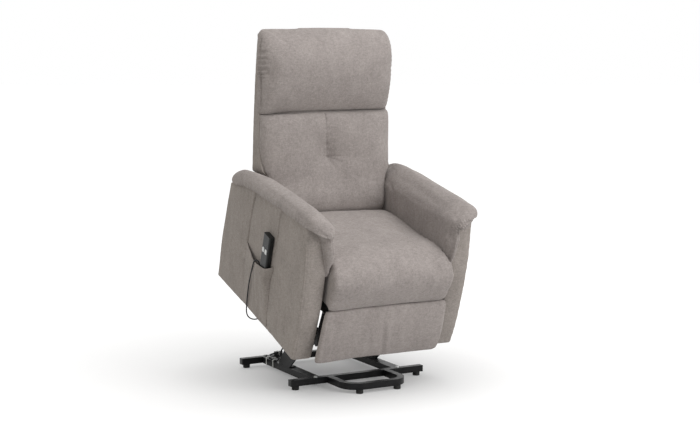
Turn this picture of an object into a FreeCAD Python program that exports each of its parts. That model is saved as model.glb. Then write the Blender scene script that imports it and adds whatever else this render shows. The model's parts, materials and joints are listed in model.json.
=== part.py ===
import FreeCAD, Part
import math
import os
from FreeCAD import Vector

# Lift recliner chair, in millimetres. +Z is up and the sitter faces -Y.
# Left and right are the sitter's, so the right side is -X.
# The chair body is drawn seated, with y back from the arms' front and z up from their bottom.
# It is then tilted forward and raised to the stand-assist position.

# Raised position of the chair body
body_tilt = 16.9
body_raised_y = -256.0
body_raised_z = 146.0

# Floor base
foot_height = 15.0
foot_radius = 14.0
foot_inset = 25.0
tube_height = 25.0
tube_wall = 2.0
crossbar_length = 588.0
crossbar_width = 25.0
front_crossbar_y = -110.0
rear_crossbar_y = 340.0
rail_width = 40.0
rail_centre_x = 182.0
loop_reach = 170.0
loop_half_width = 125.0
loop_corner = 62.0
loop_foot_x = 82.0
cap_thickness = 4.0
cap_grip = 12.0
cap_clearance = 0.2
bolt_radius = 4.0
bolt_head_radius = 7.5
bolt_head_height = 5.0

# Lift linkage, places in the base's own upright plane
lift_pivot = (60.0, 150.0)
guide_pivot = (-25.0, 140.0)
lift_pin_body = (600.0, 13.9)
guide_pin_body = (425.0, 16.0)
riser_thickness = 5.0
riser_inner_x = 196.0
riser_foot_front = 84.0
riser_foot_rear = 176.0
riser_foot_height = 12.0
riser_flange_width = 26.0
lift_eye_radius = 22.0
guide_eye_radius = 16.0
link_thickness = 6.0
link_gap = 1.5
link_half_width = 15.0
pin_radius = 7.0
running_clearance = 0.05
open_pivot_clearance = 0.8
torque_tube_radius = 17.0
torque_tube_bore = 13.0
pin_head_lip = 4.0
pin_end_play = 0.5
pin_head_height = 3.0

# Lift actuator
crank_radius = 80.0
crank_lead = 95.0
crank_half_gap = 13.0
crank_thickness = 6.0
anchor_y = 325.0
anchor_z = 90.0
anchor_half_gap = 13.0
anchor_thickness = 5.0
actuator_eye_radius = 12.0
actuator_pin_radius = 5.0
gearbox_start = 16.0
gearbox_length = 62.0
gearbox_height = 52.0
outer_tube_end = 238.0
outer_tube_radius = 19.0
outer_tube_bore = 16.0
rod_radius = 11.0
rod_length = 202.0
motor_radius = 24.0
motor_length = 118.0
motor_offset = 50.0

# Chair body frame
plate_thickness = 4.0
seat_tube_size = 25.0
front_tube_y = 95.0
rear_tube_y = 470.0
seat_tube_top = 203.0
spring_wire_radius = 2.0
spring_count = 5
spring_turns = 11
spring_half_width = 22.0
deck_thickness = 5.0
deck_half_width = 204.0
deck_rear_overlap = 20.0
front_rail_y = 6.0
front_rail_depth = 26.0
front_rail_drop = 22.0
arm_bracket_width = 40.0
arm_bracket_height = 34.0
arm_bracket_places = (130.0, 420.0)

# Arms
arm_inner_x = 266.0
arm_outer_bottom_x = 345.0
arm_outer_top_x = 357.0
arm_length = 748.0
arm_front_foot = (20.0, -8.0)
arm_front_bow = (-7.0, 290.0)
arm_front_top = 526.0
arm_bottom_middle = (352.0, 6.0)
arm_bottom_rear_z = 10.0
arm_rear_bow = (732.0, 230.0)
arm_rear_top = (700.0, 438.0)
arm_middle_drop = 18.0
arm_rear_drop = 48.0
arm_edge_radius = 10.0
arm_rail_size = 38.0
arm_rail_inset = 16.0
arm_post_front_y = 40.0
arm_post_rear_y = 608.0
arm_top_front_y = 18.0
arm_top_middle_y = 281.0
arm_top_rear_y = 555.0
rear_panel_inset = 60.0
rear_panel_thickness = 12.0
rear_panel_bottom_z = 12.0
rear_panel_top_z = 230.0

# Arm pads: distance back, inset of the inner side, inset of the outer side and height of the ridge
pad_outer_x = 372.0
pad_inner_x = 251.0
pad_rear_y = 674.0
pad_stations = [
    (-26.0, 32.0, 36.0, 550.0), (-19.0, 22.0, 23.0, 563.0), (-6.0, 13.0, 10.0, 573.0), (18.0, 5.0, 3.0, 579.0),
    (60.0, 0.0, 0.0, 580.0), (117.0, 0.0, 0.0, 579.0), (281.0, 0.0, 0.0, 570.0), (420.0, 0.0, 0.0, 561.0),
    (470.0, 0.0, 0.0, 555.0), (500.0, 7.0, 0.0, 551.0), (555.0, 9.0, 0.0, 542.0), (612.0, 10.0, 2.0, 526.0),
    (655.0, 11.0, 8.0, 503.0), (674.0, 11.0, 18.0, 484.0),
]

# Front edge of the padding down the arm's inner side, from its foot to the arm's top
flank_bottom_z = 335.0
flank_rear_z = 380.0
flank_recess_y = 470.0
flank_recess_full_y = 500.0
flank_recess_z = 300.0
flank_front = [
    (2.0, 341.0), (-6.0, 374.0), (-16.0, 400.0), (-23.0, 430.0), (-22.0, 461.0), (-13.0, 489.0), (6.0, 514.0),
]

# Band of padding down the arm's front face: height, its foremost place and its outer edge
front_band = [
    (345.0, -9.0, 275.0), (374.0, -15.0, 279.0), (400.0, -25.0, 284.0), (430.0, -30.0, 291.0), (461.0, -30.0, 300.0),
    (489.0, -24.0, 311.0), (510.0, -20.0, 323.0), (526.0, -18.0, 334.0),
]

# Seat
seat_half_width = 249.0
seat_rear_y = 494.0
seat_top_z = 386.0
seat_nose_y = -66.0
soft_gap = 0.4

# Footrest
footrest_pivot = (20.0, 190.0)
footrest_elbow = (51.0, 43.0)
footrest_pin = (-6.0, 160.0)
guide_bar_pivot = (39.5, 170.0)
guide_bar_along = -20.0
guide_bar_across = -5.0
guide_bar_clearance = 1.5
strip_thickness = 4.0
strip_gap = 1.0
strip_half_width = 10.0
rivet_radius = 4.0
footrest_half_width = 258.0
footrest_height = 212.0
footrest_front_y = -41.0
footrest_board_y = -17.0
footrest_board_thickness = 12.0
footrest_bracket_drop = 90.0
footrest_bracket_rise = 32.0

# Back
back_hinge = (520.0, 200.0)
back_half_width = 287.0
back_neck_half_width = 256.0
wing_bottom_z = 540.0
wing_slope_start_y = 612.0
wing_slope_end = (680.0, 504.0)
wing_cut_front_y = 400.0
wing_cut_rear_y = 850.0
wing_cut_bottom_z = 200.0
wing_cut_margin = 20.0
back_bottom_z = 240.0
back_top_z = 1034.0
back_post_width = 40.0
back_post_depth = 16.0
back_post_length = 742.0
back_post_foot = (570.0, 260.0)
back_post_lean = 14.2
back_rail_depth = 50.0
back_rail_rises = [0.0, 430.0, 692.0]
back_bracket_knee = (577.0, 286.0)
back_bracket_top = (611.0, 420.0)

# Handset, pocket and leads
handset_width = 55.0
handset_length = 175.0
handset_thickness = 22.0
handset_centre = (290.0, 302.0)
handset_lean = 4.6
button_width = 15.0
button_height = 19.0
button_depth = 5.0
button_proud = 2.2
button_spacing = 22.0
button_clearance = 0.4
button_travel = 1.2
button_rise = 22.0
handset_stand_off = 2.5
pocket_cloth = 3.0
pocket_foot_z = 18.0
pocket_knee_z = 178.0
pocket_clearance = 2.2
lead_diameter = 6.0
handset_cord_diameter = 5.0
tie_width = 5.0
tie_thickness = 1.6
tie_gap = 0.15
rail_ties = [(289.0, -186.2), (228.0, -192.3)]
connector_length = 34.0
connector_width = 16.0
connector_height = 13.0
socket_place = (-300.0, 394.0)

# Pocket: distance back, share of the handset's stand-off and height of the mouth
pocket_stations = [
    (243.0, 0.01, 272.0), (252.0, 0.55, 264.0), (264.0, 1.0, 258.0), (324.0, 1.0, 249.0), (362.0, 0.74, 242.0),
    (405.0, 0.5, 244.0), (450.0, 0.28, 257.0), (494.0, 0.01, 274.0),
]

# Route of the handset's lead, seated: out of its foot, over the pocket's mouth, down and under the arm
handset_cord_route = [
    (-364.3, 297.0, 214.8), (-364.1, 298.5, 198.0), (-363.4, 305.0, 184.5), (-362.6, 317.0, 177.0),
    (-362.0, 330.0, 180.0), (-361.8, 338.5, 193.0), (-362.0, 342.0, 210.0), (-362.6, 344.0, 226.0),
    (-363.2, 345.5, 239.0), (-365.4, 349.0, 249.5), (-370.5, 357.0, 254.0), (-375.9, 365.0, 249.5),
    (-378.2, 369.0, 239.0), (-377.8, 372.5, 225.0), (-376.6, 378.0, 207.0), (-373.6, 388.0, 181.0),
    (-369.4, 400.0, 154.0), (-364.6, 412.0, 126.0), (-360.4, 421.0, 95.0), (-356.8, 427.0, 62.0),
    (-354.0, 430.0, 30.0), (-351.6, 431.0, 4.0), (-347.0, 431.0, -16.0), (-337.0, 429.0, -30.0),
    (-324.0, 421.0, -35.0), (-311.0, 409.0, -30.0), (-302.5, 398.0, -16.0), (-300.0, 394.0, 0.0),
]

# Route of the power lead: connector, rear crossbar, side rail, then up to the socket on the riser
power_lead_route = [
    (-142.0, 339.5, 46.5), (-152.0, 339.5, 45.0), (-163.0, 335.5, 43.5), (-173.0, 326.0, 43.2),
    (-180.0, 312.0, 43.2), (-185.0, 295.0, 43.2), (-188.5, 277.0, 43.2), (-191.0, 258.0, 43.2),
    (-192.0, 240.0, 43.2), (-192.5, 222.0, 43.2), (-193.0, 206.0, 46.0), (-193.5, 192.0, 56.0),
    (-194.0, 182.0, 71.0), (-194.3, 172.0, 88.0), (-193.6, 160.0, 103.0), (-191.5, 145.0, 111.0),
    (-188.5, 129.0, 112.0), (-185.6, 114.0, 106.0), (-184.0, 98.0, 98.0),
]

# Side outline of the back shell above its square foot, front edge upwards then rear edge downwards
shell_foot_front = (530.0, 400.0)
shell_front = [(601.0, 567.0), (680.0, 737.0), (716.0, 888.0)]
shell_top_front_y = 748.0
shell_top_rear_y = 766.0
shell_rear = [(763.0, 960.0), (751.0, 888.0), (673.0, 511.0)]
shell_bottom = (524.0, 610.0)

# Back cushions: height, half width, rear face, front face, roll at the sides and valley between the lobes
lumbar_stations = [
    (254.0, 245.0, 545.0, 512.0, 10.0, 0.0), (270.0, 253.0, 550.0, 504.0, 18.0, 0.0),
    (368.0, 253.0, 552.0, 500.0, 20.0, 1.0), (400.0, 253.0, 552.0, 490.0, 22.0, 2.0),
    (447.0, 253.0, 565.0, 512.0, 24.0, 3.0), (500.0, 255.0, 580.0, 538.0, 24.0, 4.0),
    (530.0, 275.0, 600.0, 546.0, 26.0, 9.0), (587.0, 283.0, 640.0, 567.0, 28.0, 22.0),
    (630.0, 283.0, 655.0, 580.0, 28.0, 16.0), (690.0, 283.0, 680.0, 598.0, 28.0, 15.0),
    (728.0, 283.0, 700.0, 616.0, 28.0, 10.0), (746.6, 279.0, 705.0, 640.0, 26.0, 4.0),
]
head_stations = [
    (747.4, 279.0, 705.0, 652.0, 26.0, 0.0), (765.0, 283.0, 712.0, 634.0, 34.0, 0.0),
    (800.0, 283.0, 722.0, 626.0, 38.0, -1.0), (860.0, 283.0, 735.0, 623.0, 40.0, -2.0),
    (915.0, 283.0, 745.0, 631.0, 40.0, -2.0), (965.0, 283.0, 755.0, 647.0, 38.0, -2.0),
    (1000.0, 283.0, 762.0, 668.0, 34.0, -1.0), (1028.0, 282.0, 766.0, 694.0, 28.0, 0.0),
    (1044.0, 278.0, 766.0, 718.0, 20.0, 0.0), (1052.0, 269.0, 764.0, 736.0, 10.0, 0.0),
]

# Heights and edges worked out from the sizes above
tube_bottom = foot_height
deck_top = seat_tube_top + 2 * spring_wire_radius + deck_thickness
tube_top = foot_height + tube_height
link_x = riser_inner_x + riser_thickness + link_gap
plate_x = link_x + link_thickness + link_gap
guide_x = plate_x + plate_thickness + link_gap
strip_one_x = plate_x + plate_thickness + strip_gap
strip_two_x = strip_one_x + strip_thickness + strip_gap
strip_three_x = strip_two_x + strip_thickness + strip_gap
loop_front_y = front_crossbar_y - loop_reach


def on_body(point):
    """World y and z of a body point given as distance back and height."""
    tilt = math.radians(body_tilt)
    back, up = point
    y = body_raised_y + back * math.cos(tilt) - up * math.sin(tilt)
    z = body_raised_z + back * math.sin(tilt) + up * math.cos(tilt)
    return (y, z)


def raise_body(shape):
    """Tilt and lift a shape drawn seated into the raised position."""
    moved = shape.copy()
    moved.rotate(Vector(0, 0, 0), Vector(1, 0, 0), body_tilt)
    moved.translate(Vector(0, body_raised_y, body_raised_z))
    return moved


def mirrored(shape):
    return shape.mirror(Vector(0, 0, 0), Vector(1, 0, 0))


def both_sides(shape):
    return Part.makeCompound([shape, mirrored(shape)])


def block(x0, x1, y0, y1, z0, z1):
    return Part.makeBox(x1 - x0, y1 - y0, z1 - z0, Vector(x0, y0, z0))


def cylinder_x(x0, x1, centre, radius):
    start = Vector(x0, centre[0], centre[1])
    return Part.makeCylinder(radius, x1 - x0, start, Vector(1, 0, 0))


def polygon(points):
    corners = [Vector(*p) for p in points]
    return Part.Face(Part.makePolygon(corners + [corners[0]]))


def side_profile(points, x0, x1):
    """Plate with an outline given in the upright plane, from x0 to x1."""
    face = polygon([(x0, y, z) for y, z in points])
    return face.extrude(Vector(x1 - x0, 0, 0))


def chain_wire(steps):
    """Closed wire of lines and arcs; a step is (end,) or (middle, end)."""
    edges = []
    here = Vector(*steps[-1][-1])
    for step in steps:
        target = Vector(*step[-1])
        if len(step) == 2:
            edges.append(Part.Arc(here, Vector(*step[0]), target).toShape())
        else:
            edges.append(Part.LineSegment(here, target).toShape())
        here = target
    return Part.Wire(edges)


def bar_plate(a, b, half_width, x0, x1):
    """Flat bar with round ends about two centres in the upright plane."""
    length = math.hypot(b[0] - a[0], b[1] - a[1])
    along = ((b[0] - a[0]) / length * half_width, (b[1] - a[1]) / length * half_width)
    across = (-along[1], along[0])

    def corner(centre, i, j):
        return (x0, centre[0] + i * along[0] + j * across[0], centre[1] + i * along[1] + j * across[1])

    wire = chain_wire([
        (corner(b, 0, 1),),
        (corner(b, 1, 0), corner(b, 0, -1)),
        (corner(a, 0, -1),),
        (corner(a, -1, 0), corner(a, 0, 1)),
    ])
    return Part.Face(wire).extrude(Vector(x1 - x0, 0, 0))


def square_tube(x0, x1, y0, y1, z0, z1, along):
    """Hollow square bar, open at both ends along x or y."""
    outer = block(x0, x1, y0, y1, z0, z1)
    w = tube_wall
    if along == "x":
        inner = block(x0, x1, y0 + w, y1 - w, z0 + w, z1 - w)
    else:
        inner = block(x0 + w, x1 - w, y0, y1, z0 + w, z1 - w)
    return outer.cut(inner)


def loft(wires):
    return Part.makeLoft(wires, True, True)


def fuse(shapes):
    return shapes[0].multiFuse(shapes[1:]).removeSplitter()


def drilled(shape, holes, x0, x1):
    """Cut round holes along x; each hole is (centre, radius)."""
    for centre, radius in holes:
        shape = shape.cut(cylinder_x(x0 - 1, x1 + 1, centre, radius))
    return shape


def headed_pin(x0, x1, centre, radius, heads="both"):
    """Pin along x with a flat head outside each named end."""
    parts = [cylinder_x(x0, x1, centre, radius)]
    if heads in ("both", "outer"):
        parts.append(cylinder_x(x1, x1 + pin_head_height, centre, radius + pin_head_lip))
    if heads in ("both", "inner"):
        parts.append(cylinder_x(x0 - pin_head_height, x0, centre, radius + pin_head_lip))
    return fuse(parts)


def pipe(points, radii, section_radius):
    """Round tube along straight runs joined by tangent arcs."""
    places = [Vector(*p) for p in points]
    edges = []
    here = places[0]
    for i in range(1, len(places) - 1):
        before = places[i - 1] - places[i]
        after = places[i + 1] - places[i]
        half_turn = (math.pi - before.getAngle(after)) / 2
        trim = radii[i - 1] * math.tan(half_turn)
        before.normalize()
        after.normalize()
        start = places[i] + before * trim
        end = places[i] + after * trim
        inward = before + after
        inward.normalize()
        sagitta = radii[i - 1] / math.cos(half_turn) - radii[i - 1]
        middle = places[i] + inward * sagitta
        edges.append(Part.LineSegment(here, start).toShape())
        edges.append(Part.Arc(start, middle, end).toShape())
        here = end
    edges.append(Part.LineSegment(here, places[-1]).toShape())
    path = Part.Wire(edges)
    ring = Part.makeCircle(section_radius, places[0], places[1] - places[0])
    return path.makePipeShell([Part.Wire(ring)], True, False), path.Length


def cord_radii(points):
    """Each arc takes 0.45 of the shorter run beside its point."""
    places = [Vector(*p) for p in points]
    radii = []
    for i in range(1, len(places) - 1):
        before = places[i - 1] - places[i]
        after = places[i + 1] - places[i]
        half_turn = (math.pi - before.getAngle(after)) / 2
        radii.append(0.45 * min(before.Length, after.Length) / math.tan(half_turn))
    return radii


def cord(name, points, diameter):
    radii = cord_radii(points)
    solid, length = pipe(points, radii, diameter / 2)
    expected = math.pi * diameter ** 2 / 4 * length
    print(name, "length", round(length), "radii", [round(r) for r in radii],
          "volume share", round(solid.Volume / expected, 4))
    return solid


# Floor base


def crossbar(centre_y, bolt_y):
    """Square cross tube with a hole through it at each side rail's bolt."""
    half = crossbar_length / 2 - cap_thickness
    y0 = centre_y - crossbar_width / 2
    bar = square_tube(-half, half, y0, y0 + crossbar_width, tube_bottom, tube_top, "x")
    for x in (-rail_centre_x, rail_centre_x):
        hole = Part.makeCylinder(bolt_radius, tube_height + 2, Vector(x, bolt_y, tube_bottom - 1))
        bar = bar.cut(hole)
    return bar


def side_rail():
    y0 = front_crossbar_y + crossbar_width / 2
    y1 = rear_crossbar_y - crossbar_width / 2
    x0 = rail_centre_x - rail_width / 2
    return square_tube(x0, x0 + rail_width, y0, y1, tube_bottom, tube_top, "y")


def loop_bar(inset):
    """U-shaped bar lying flat, drawn in by inset on every side."""
    z0 = tube_bottom + inset
    out = crossbar_width / 2 - inset
    ends = front_crossbar_y - crossbar_width / 2
    wide, near = loop_half_width + out, loop_half_width - out
    front, back = loop_front_y - out, loop_front_y + out
    big, small = loop_corner + out, loop_corner - out
    turn = math.sqrt(0.5)
    wire = chain_wire([
        ((wide, front + big, z0),),
        ((wide - big + big * turn, front + big - big * turn, z0), (wide - big, front, z0)),
        ((-wide + big, front, z0),),
        ((-wide + big - big * turn, front + big - big * turn, z0), (-wide, front + big, z0)),
        ((-wide, ends, z0),),
        ((-near, ends, z0),),
        ((-near, back + small, z0),),
        ((-near + small - small * turn, back + small - small * turn, z0), (-near + small, back, z0)),
        ((near - small, back, z0),),
        ((near - small + small * turn, back + small - small * turn, z0), (near, back + small, z0)),
        ((near, ends, z0),),
        ((wide, ends, z0),),
    ])
    return Part.Face(wire).extrude(Vector(0, 0, tube_height - 2 * inset))


def front_loop():
    return loop_bar(0).cut(loop_bar(tube_wall))


def foot_places():
    end_x = crossbar_length / 2 - foot_inset
    places = [(loop_foot_x, loop_front_y), (end_x, front_crossbar_y), (end_x, rear_crossbar_y)]
    return [(side * x, y) for x, y in places for side in (-1, 1)]


def floor_feet():
    feet = []
    for x, y in foot_places():
        foot = Part.makeCylinder(foot_radius, foot_height, Vector(x, y, 0))
        feet.append(foot.makeChamfer(1.5, foot.Edges))
    return Part.makeCompound(feet)


def end_caps():
    """Plastic plugs in the four open ends of the crossbars."""
    grip = tube_wall + cap_clearance
    half = crossbar_length / 2
    caps = []
    for y in (front_crossbar_y, rear_crossbar_y):
        y0, y1 = y - crossbar_width / 2, y + crossbar_width / 2
        plate = block(half - cap_thickness, half, y0, y1, tube_bottom, tube_top)
        plate = plate.makeFillet(1.5, [e for e in plate.Edges if e.CenterOfMass.x > half - 0.1])
        plug = block(half - cap_thickness - cap_grip, half - cap_thickness, y0 + grip, y1 - grip,
                     tube_bottom + grip, tube_top - grip)
        caps.append(fuse([plate, plug]))
    return both_sides(Part.makeCompound(caps))


def hexagon_head(x, y, z):
    points = [(x + bolt_head_radius * math.cos(math.radians(60 * i)),
               y + bolt_head_radius * math.sin(math.radians(60 * i)), z) for i in range(6)]
    return polygon(points).extrude(Vector(0, 0, bolt_head_height))


def frame_bolts():
    """Bolts through the crossbars, heads above and nuts below."""
    bolts = []
    for x in (-rail_centre_x, rail_centre_x):
        for y in (front_crossbar_y, rear_crossbar_y):
            shank = Part.makeCylinder(bolt_radius, tube_height, Vector(x, y, tube_bottom))
            head = hexagon_head(x, y, tube_top)
            nut = hexagon_head(x, y, tube_bottom - bolt_head_height)
            bolts.append(fuse([head, shank, nut]))
    return Part.makeCompound(bolts)


def lift_riser():
    """Upright plate with a foot flange, standing on the side rail."""
    x0, x1 = riser_inner_x, riser_inner_x + riser_thickness
    guide_y, guide_z = guide_pivot
    pivot_y, pivot_z = lift_pivot
    web = side_profile([
        (riser_foot_front, tube_top), (riser_foot_rear, tube_top),
        (riser_foot_rear, tube_top + riser_foot_height),
        (pivot_y + lift_eye_radius - 2, pivot_z), (pivot_y, pivot_z + lift_eye_radius),
        (guide_y, guide_z + guide_eye_radius), (guide_y - guide_eye_radius, guide_z),
        (guide_y, guide_z - guide_eye_radius),
    ], x0, x1)
    eyes = [cylinder_x(x0, x1, lift_pivot, lift_eye_radius), cylinder_x(x0, x1, guide_pivot, guide_eye_radius)]
    flange = block(x0 - riser_flange_width, x0, riser_foot_front, riser_foot_rear,
                   tube_top, tube_top + riser_thickness)
    riser = fuse([web, flange] + eyes)
    holes = [(lift_pivot, pin_radius + running_clearance), (guide_pivot, pin_radius)]
    return drilled(riser, holes, x0, x1)


def guide_pivot_pins():
    x1 = guide_x + link_thickness + pin_end_play
    return both_sides(headed_pin(riser_inner_x, x1, guide_pivot, pin_radius))


def actuator_anchor():
    """Clevis on the rear crossbar that holds the actuator's rear eye."""
    pivot = (anchor_y, anchor_z)
    y0, y1 = rear_crossbar_y - crossbar_width / 2, rear_crossbar_y + crossbar_width / 2
    x0, x1 = anchor_half_gap, anchor_half_gap + anchor_thickness
    ear = side_profile([(y0, tube_top), (y1, tube_top), (y1, tube_top + 20), (pivot[0] + 12, pivot[1] + 8),
                        (pivot[0] - 13, pivot[1] - 4)], x0, x1)
    ear = fuse([ear, cylinder_x(x0, x1, pivot, 14)])
    ear = drilled(ear, [(pivot, actuator_pin_radius)], x0, x1)
    foot = block(-x0, x0, y0, y1, tube_top, tube_top + 4)
    return fuse([ear, mirrored(ear), foot])


def anchor_pin():
    outer = anchor_half_gap + anchor_thickness
    return headed_pin(-outer, outer, (anchor_y, anchor_z), actuator_pin_radius)


# Lift arms


def lift_pin_world():
    return on_body(lift_pin_body)


def link_angle():
    end = lift_pin_world()
    return math.atan2(end[1] - lift_pivot[1], end[0] - lift_pivot[0])


def crank_pin_world():
    angle = link_angle() + math.radians(crank_lead)
    return (lift_pivot[0] + crank_radius * math.cos(angle), lift_pivot[1] + crank_radius * math.sin(angle))


def lift_link():
    x0, x1 = link_x, link_x + link_thickness
    end = lift_pin_world()
    bar = bar_plate(lift_pivot, end, link_half_width, x0, x1)
    return drilled(bar, [(lift_pivot, pin_radius), (end, pin_radius + running_clearance)], x0, x1)


def torque_tube():
    half = riser_inner_x - link_gap
    return cylinder_x(-half, half, lift_pivot, torque_tube_radius).cut(
        cylinder_x(-half, half, lift_pivot, torque_tube_bore))


def pivot_shafts():
    """Stub shafts from the torque tube through the risers into the links."""
    shoulder = riser_inner_x - link_gap
    outer = link_x + link_thickness
    stub = fuse([
        cylinder_x(shoulder - 30, shoulder, lift_pivot, torque_tube_bore),
        cylinder_x(shoulder, outer, lift_pivot, pin_radius),
        cylinder_x(outer, outer + pin_head_height, lift_pivot, pin_radius + pin_head_lip),
    ])
    return both_sides(stub)


def lift_crank():
    """Pair of crank arms clamped round the middle of the torque tube."""
    x0, x1 = crank_half_gap, crank_half_gap + crank_thickness
    pin = crank_pin_world()
    arm = fuse([bar_plate(lift_pivot, pin, 13, x0, x1), cylinder_x(x0, x1, lift_pivot, torque_tube_radius + 7)])
    arm = drilled(arm, [(lift_pivot, torque_tube_radius), (pin, actuator_pin_radius)], x0, x1)
    return both_sides(arm)


def crank_pin():
    outer = crank_half_gap + crank_thickness
    return headed_pin(-outer, outer, crank_pin_world(), actuator_pin_radius)


def guide_links():
    """Outside the side plates, clear of the lift links that they pass."""
    x0, x1 = guide_x, guide_x + link_thickness
    end = on_body(guide_pin_body)
    bar = bar_plate(guide_pivot, end, link_half_width - 2, x0, x1)
    holes = [(guide_pivot, pin_radius + running_clearance), (end, pin_radius + open_pivot_clearance)]
    return both_sides(drilled(bar, holes, x0, x1))


# Lift actuator


def actuator_reach():
    pin = crank_pin_world()
    return math.hypot(pin[0] - anchor_y, pin[1] - anchor_z)


def aim_actuator(shape):
    """Turn a shape drawn along +Y from the anchor towards the crank pin."""
    pin = crank_pin_world()
    moved = shape.copy()
    angle = math.degrees(math.atan2(pin[1] - anchor_z, pin[0] - anchor_y))
    moved.rotate(Vector(0, 0, 0), Vector(1, 0, 0), angle)
    moved.translate(Vector(0, anchor_y, anchor_z))
    return moved


def eye_boss(centre_y, half_width):
    boss = cylinder_x(-half_width, half_width, (centre_y, 0), actuator_eye_radius)
    return drilled(boss, [((centre_y, 0), actuator_pin_radius + running_clearance)], -half_width, half_width)


def gearbox():
    """Gear housing with the rear eye on one end and the lead's inlet on its side."""
    end = gearbox_start + gearbox_length
    half = gearbox_height / 2
    side = motor_offset + motor_radius + 2
    case = block(-side, outer_tube_radius + 3, gearbox_start, end, -half, half)
    case = case.makeFillet(6, [e for e in case.Edges if abs(e.CenterOfMass.y - (gearbox_start + end) / 2) < 1])
    neck = block(-actuator_eye_radius, actuator_eye_radius, 0, gearbox_start, -9, 9)
    clear = cylinder_x(-20, 20, (0, 0), actuator_eye_radius - 1)
    inlet = cylinder_x(-side - 8, -side, (gearbox_start + 16, 0), 6)
    return aim_actuator(fuse([case, neck.cut(clear), eye_boss(0, anchor_half_gap - 0.5), inlet]))


def lift_motor():
    start = gearbox_start + gearbox_length
    can = Part.makeCylinder(motor_radius, motor_length, Vector(-motor_offset, start, 0), Vector(0, 1, 0))
    far = [e for e in can.Edges if abs(e.CenterOfMass.y - start - motor_length) < 0.1]
    can = can.makeFillet(4, far)
    return aim_actuator(can)


def outer_tube():
    start = gearbox_start + gearbox_length
    length = outer_tube_end - start
    tube = Part.makeCylinder(outer_tube_radius, length, Vector(0, start, 0), Vector(0, 1, 0))
    collar = Part.makeCylinder(outer_tube_radius + 3, 14, Vector(0, outer_tube_end - 14, 0), Vector(0, 1, 0))
    bore = Part.makeCylinder(outer_tube_bore, length, Vector(0, start, 0), Vector(0, 1, 0))
    return aim_actuator(fuse([tube, collar]).cut(bore))


def actuator_rod():
    reach = actuator_reach()
    half = crank_half_gap - 0.5
    length = rod_length - actuator_eye_radius + 1
    rod = Part.makeCylinder(rod_radius, length, Vector(0, reach - rod_length, 0), Vector(0, 1, 0))
    return aim_actuator(fuse([rod, eye_boss(reach, half)]).cut(
        cylinder_x(-half - 1, half + 1, (reach, 0), actuator_pin_radius + running_clearance)))


# Chair frame, drawn seated


def seat_side_plate():
    x0, x1 = plate_x, plate_x + plate_thickness
    pin, guide, hinge = lift_pin_body, guide_pin_body, back_hinge
    web = side_profile([
        (8, 156), (8, 204), (hinge[0] - 20, 206), (hinge[0] - 12, hinge[1] + 16), (hinge[0] + 14, hinge[1] + 16),
        (pin[0] + 14, pin[1] + 8), (pin[0], pin[1] - 15), (guide[0], guide[1] - 16),
        (guide[0] - 16, guide[1]), (guide[0] - 30, 156),
    ], x0, x1)
    eyes = [cylinder_x(x0, x1, pin, 15), cylinder_x(x0, x1, guide, 16), cylinder_x(x0, x1, hinge, 20),
            cylinder_x(x0, x1, footrest_pivot, 14), cylinder_x(x0, x1, guide_bar_pivot, 14)]
    holes = [(pin, pin_radius), (guide, pin_radius), (hinge, pin_radius),
             (footrest_pivot, rivet_radius), (guide_bar_pivot, rivet_radius)]
    return drilled(fuse([web] + eyes), holes, x0, x1)


def body_link_pins():
    """Pins fixed in the side plates that carry the lift and guide links."""
    lift_pin = headed_pin(link_x - pin_end_play, plate_x + plate_thickness, lift_pin_body, pin_radius)
    guide_end = guide_x + link_thickness + pin_end_play
    guide_pin = headed_pin(plate_x, guide_end, guide_pin_body, pin_radius, "outer")
    return both_sides(Part.makeCompound([lift_pin, guide_pin]))


def seat_tube(front_y):
    top = seat_tube_top
    return square_tube(-plate_x, plate_x, front_y, front_y + seat_tube_size, top - seat_tube_size, top, "x")


def seat_front_rail():
    """Timber rail under the front edge of the seat."""
    y0, z0 = front_rail_y, seat_tube_top - front_rail_drop
    return block(-plate_x, plate_x, y0, y0 + front_rail_depth, z0, deck_top - 2)


def seat_spring(centre_x):
    """Sinuous spring of straight runs and half turns, front tube to rear tube."""
    y0 = front_tube_y + seat_tube_size / 2
    y1 = rear_tube_y + seat_tube_size / 2
    turn = (y1 - y0) / (2 * (spring_turns - 1))
    z = seat_tube_top + spring_wire_radius
    edges = []
    side = 1
    start = Vector(centre_x - spring_half_width, y0, z)
    for i in range(spring_turns):
        y = y0 + 2 * turn * i
        end = Vector(centre_x + side * spring_half_width, y, z)
        edges.append(Part.LineSegment(start, end).toShape())
        if i == spring_turns - 1:
            break
        k = turn * math.sqrt(0.5)
        middle = Vector(end.x + side * turn, y + turn, z)
        last = Vector(end.x, y + 2 * turn, z)
        edges.append(Part.Arc(end, Vector(end.x + side * k, y + turn - k, z), middle).toShape())
        edges.append(Part.Arc(middle, Vector(end.x + side * k, y + turn + k, z), last).toShape())
        start = last
        side = -side
    ring = Part.makeCircle(spring_wire_radius, Vector(centre_x - spring_half_width, y0, z), Vector(1, 0, 0))
    return Part.Wire(edges).makePipeShell([Part.Wire(ring)], True, False)


def seat_springs():
    step = 2 * deck_half_width / spring_count
    return Part.makeCompound([seat_spring(step * (i - (spring_count - 1) / 2)) for i in range(spring_count)])


def seat_deck():
    z0 = deck_top - deck_thickness
    y0, y1 = front_tube_y + 6, rear_tube_y + deck_rear_overlap
    return block(-deck_half_width, deck_half_width, y0, y1, z0, deck_top)


def arm_brackets():
    """Blocks that bolt each arm to its side plate."""
    x0 = plate_x + plate_thickness
    z1 = seat_tube_top - 8
    z0 = z1 - arm_bracket_height
    blocks = [block(x0, arm_inner_x, y, y + arm_bracket_width, z0, z1) for y in arm_bracket_places]
    return both_sides(Part.makeCompound(blocks))


# Arms, drawn on the sitter's left and mirrored for the right


def arm_outer_x(z):
    """Outer face of an arm leans out with height."""
    return arm_outer_bottom_x + (arm_outer_top_x - arm_outer_bottom_x) * z / arm_rear_top[1]


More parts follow.
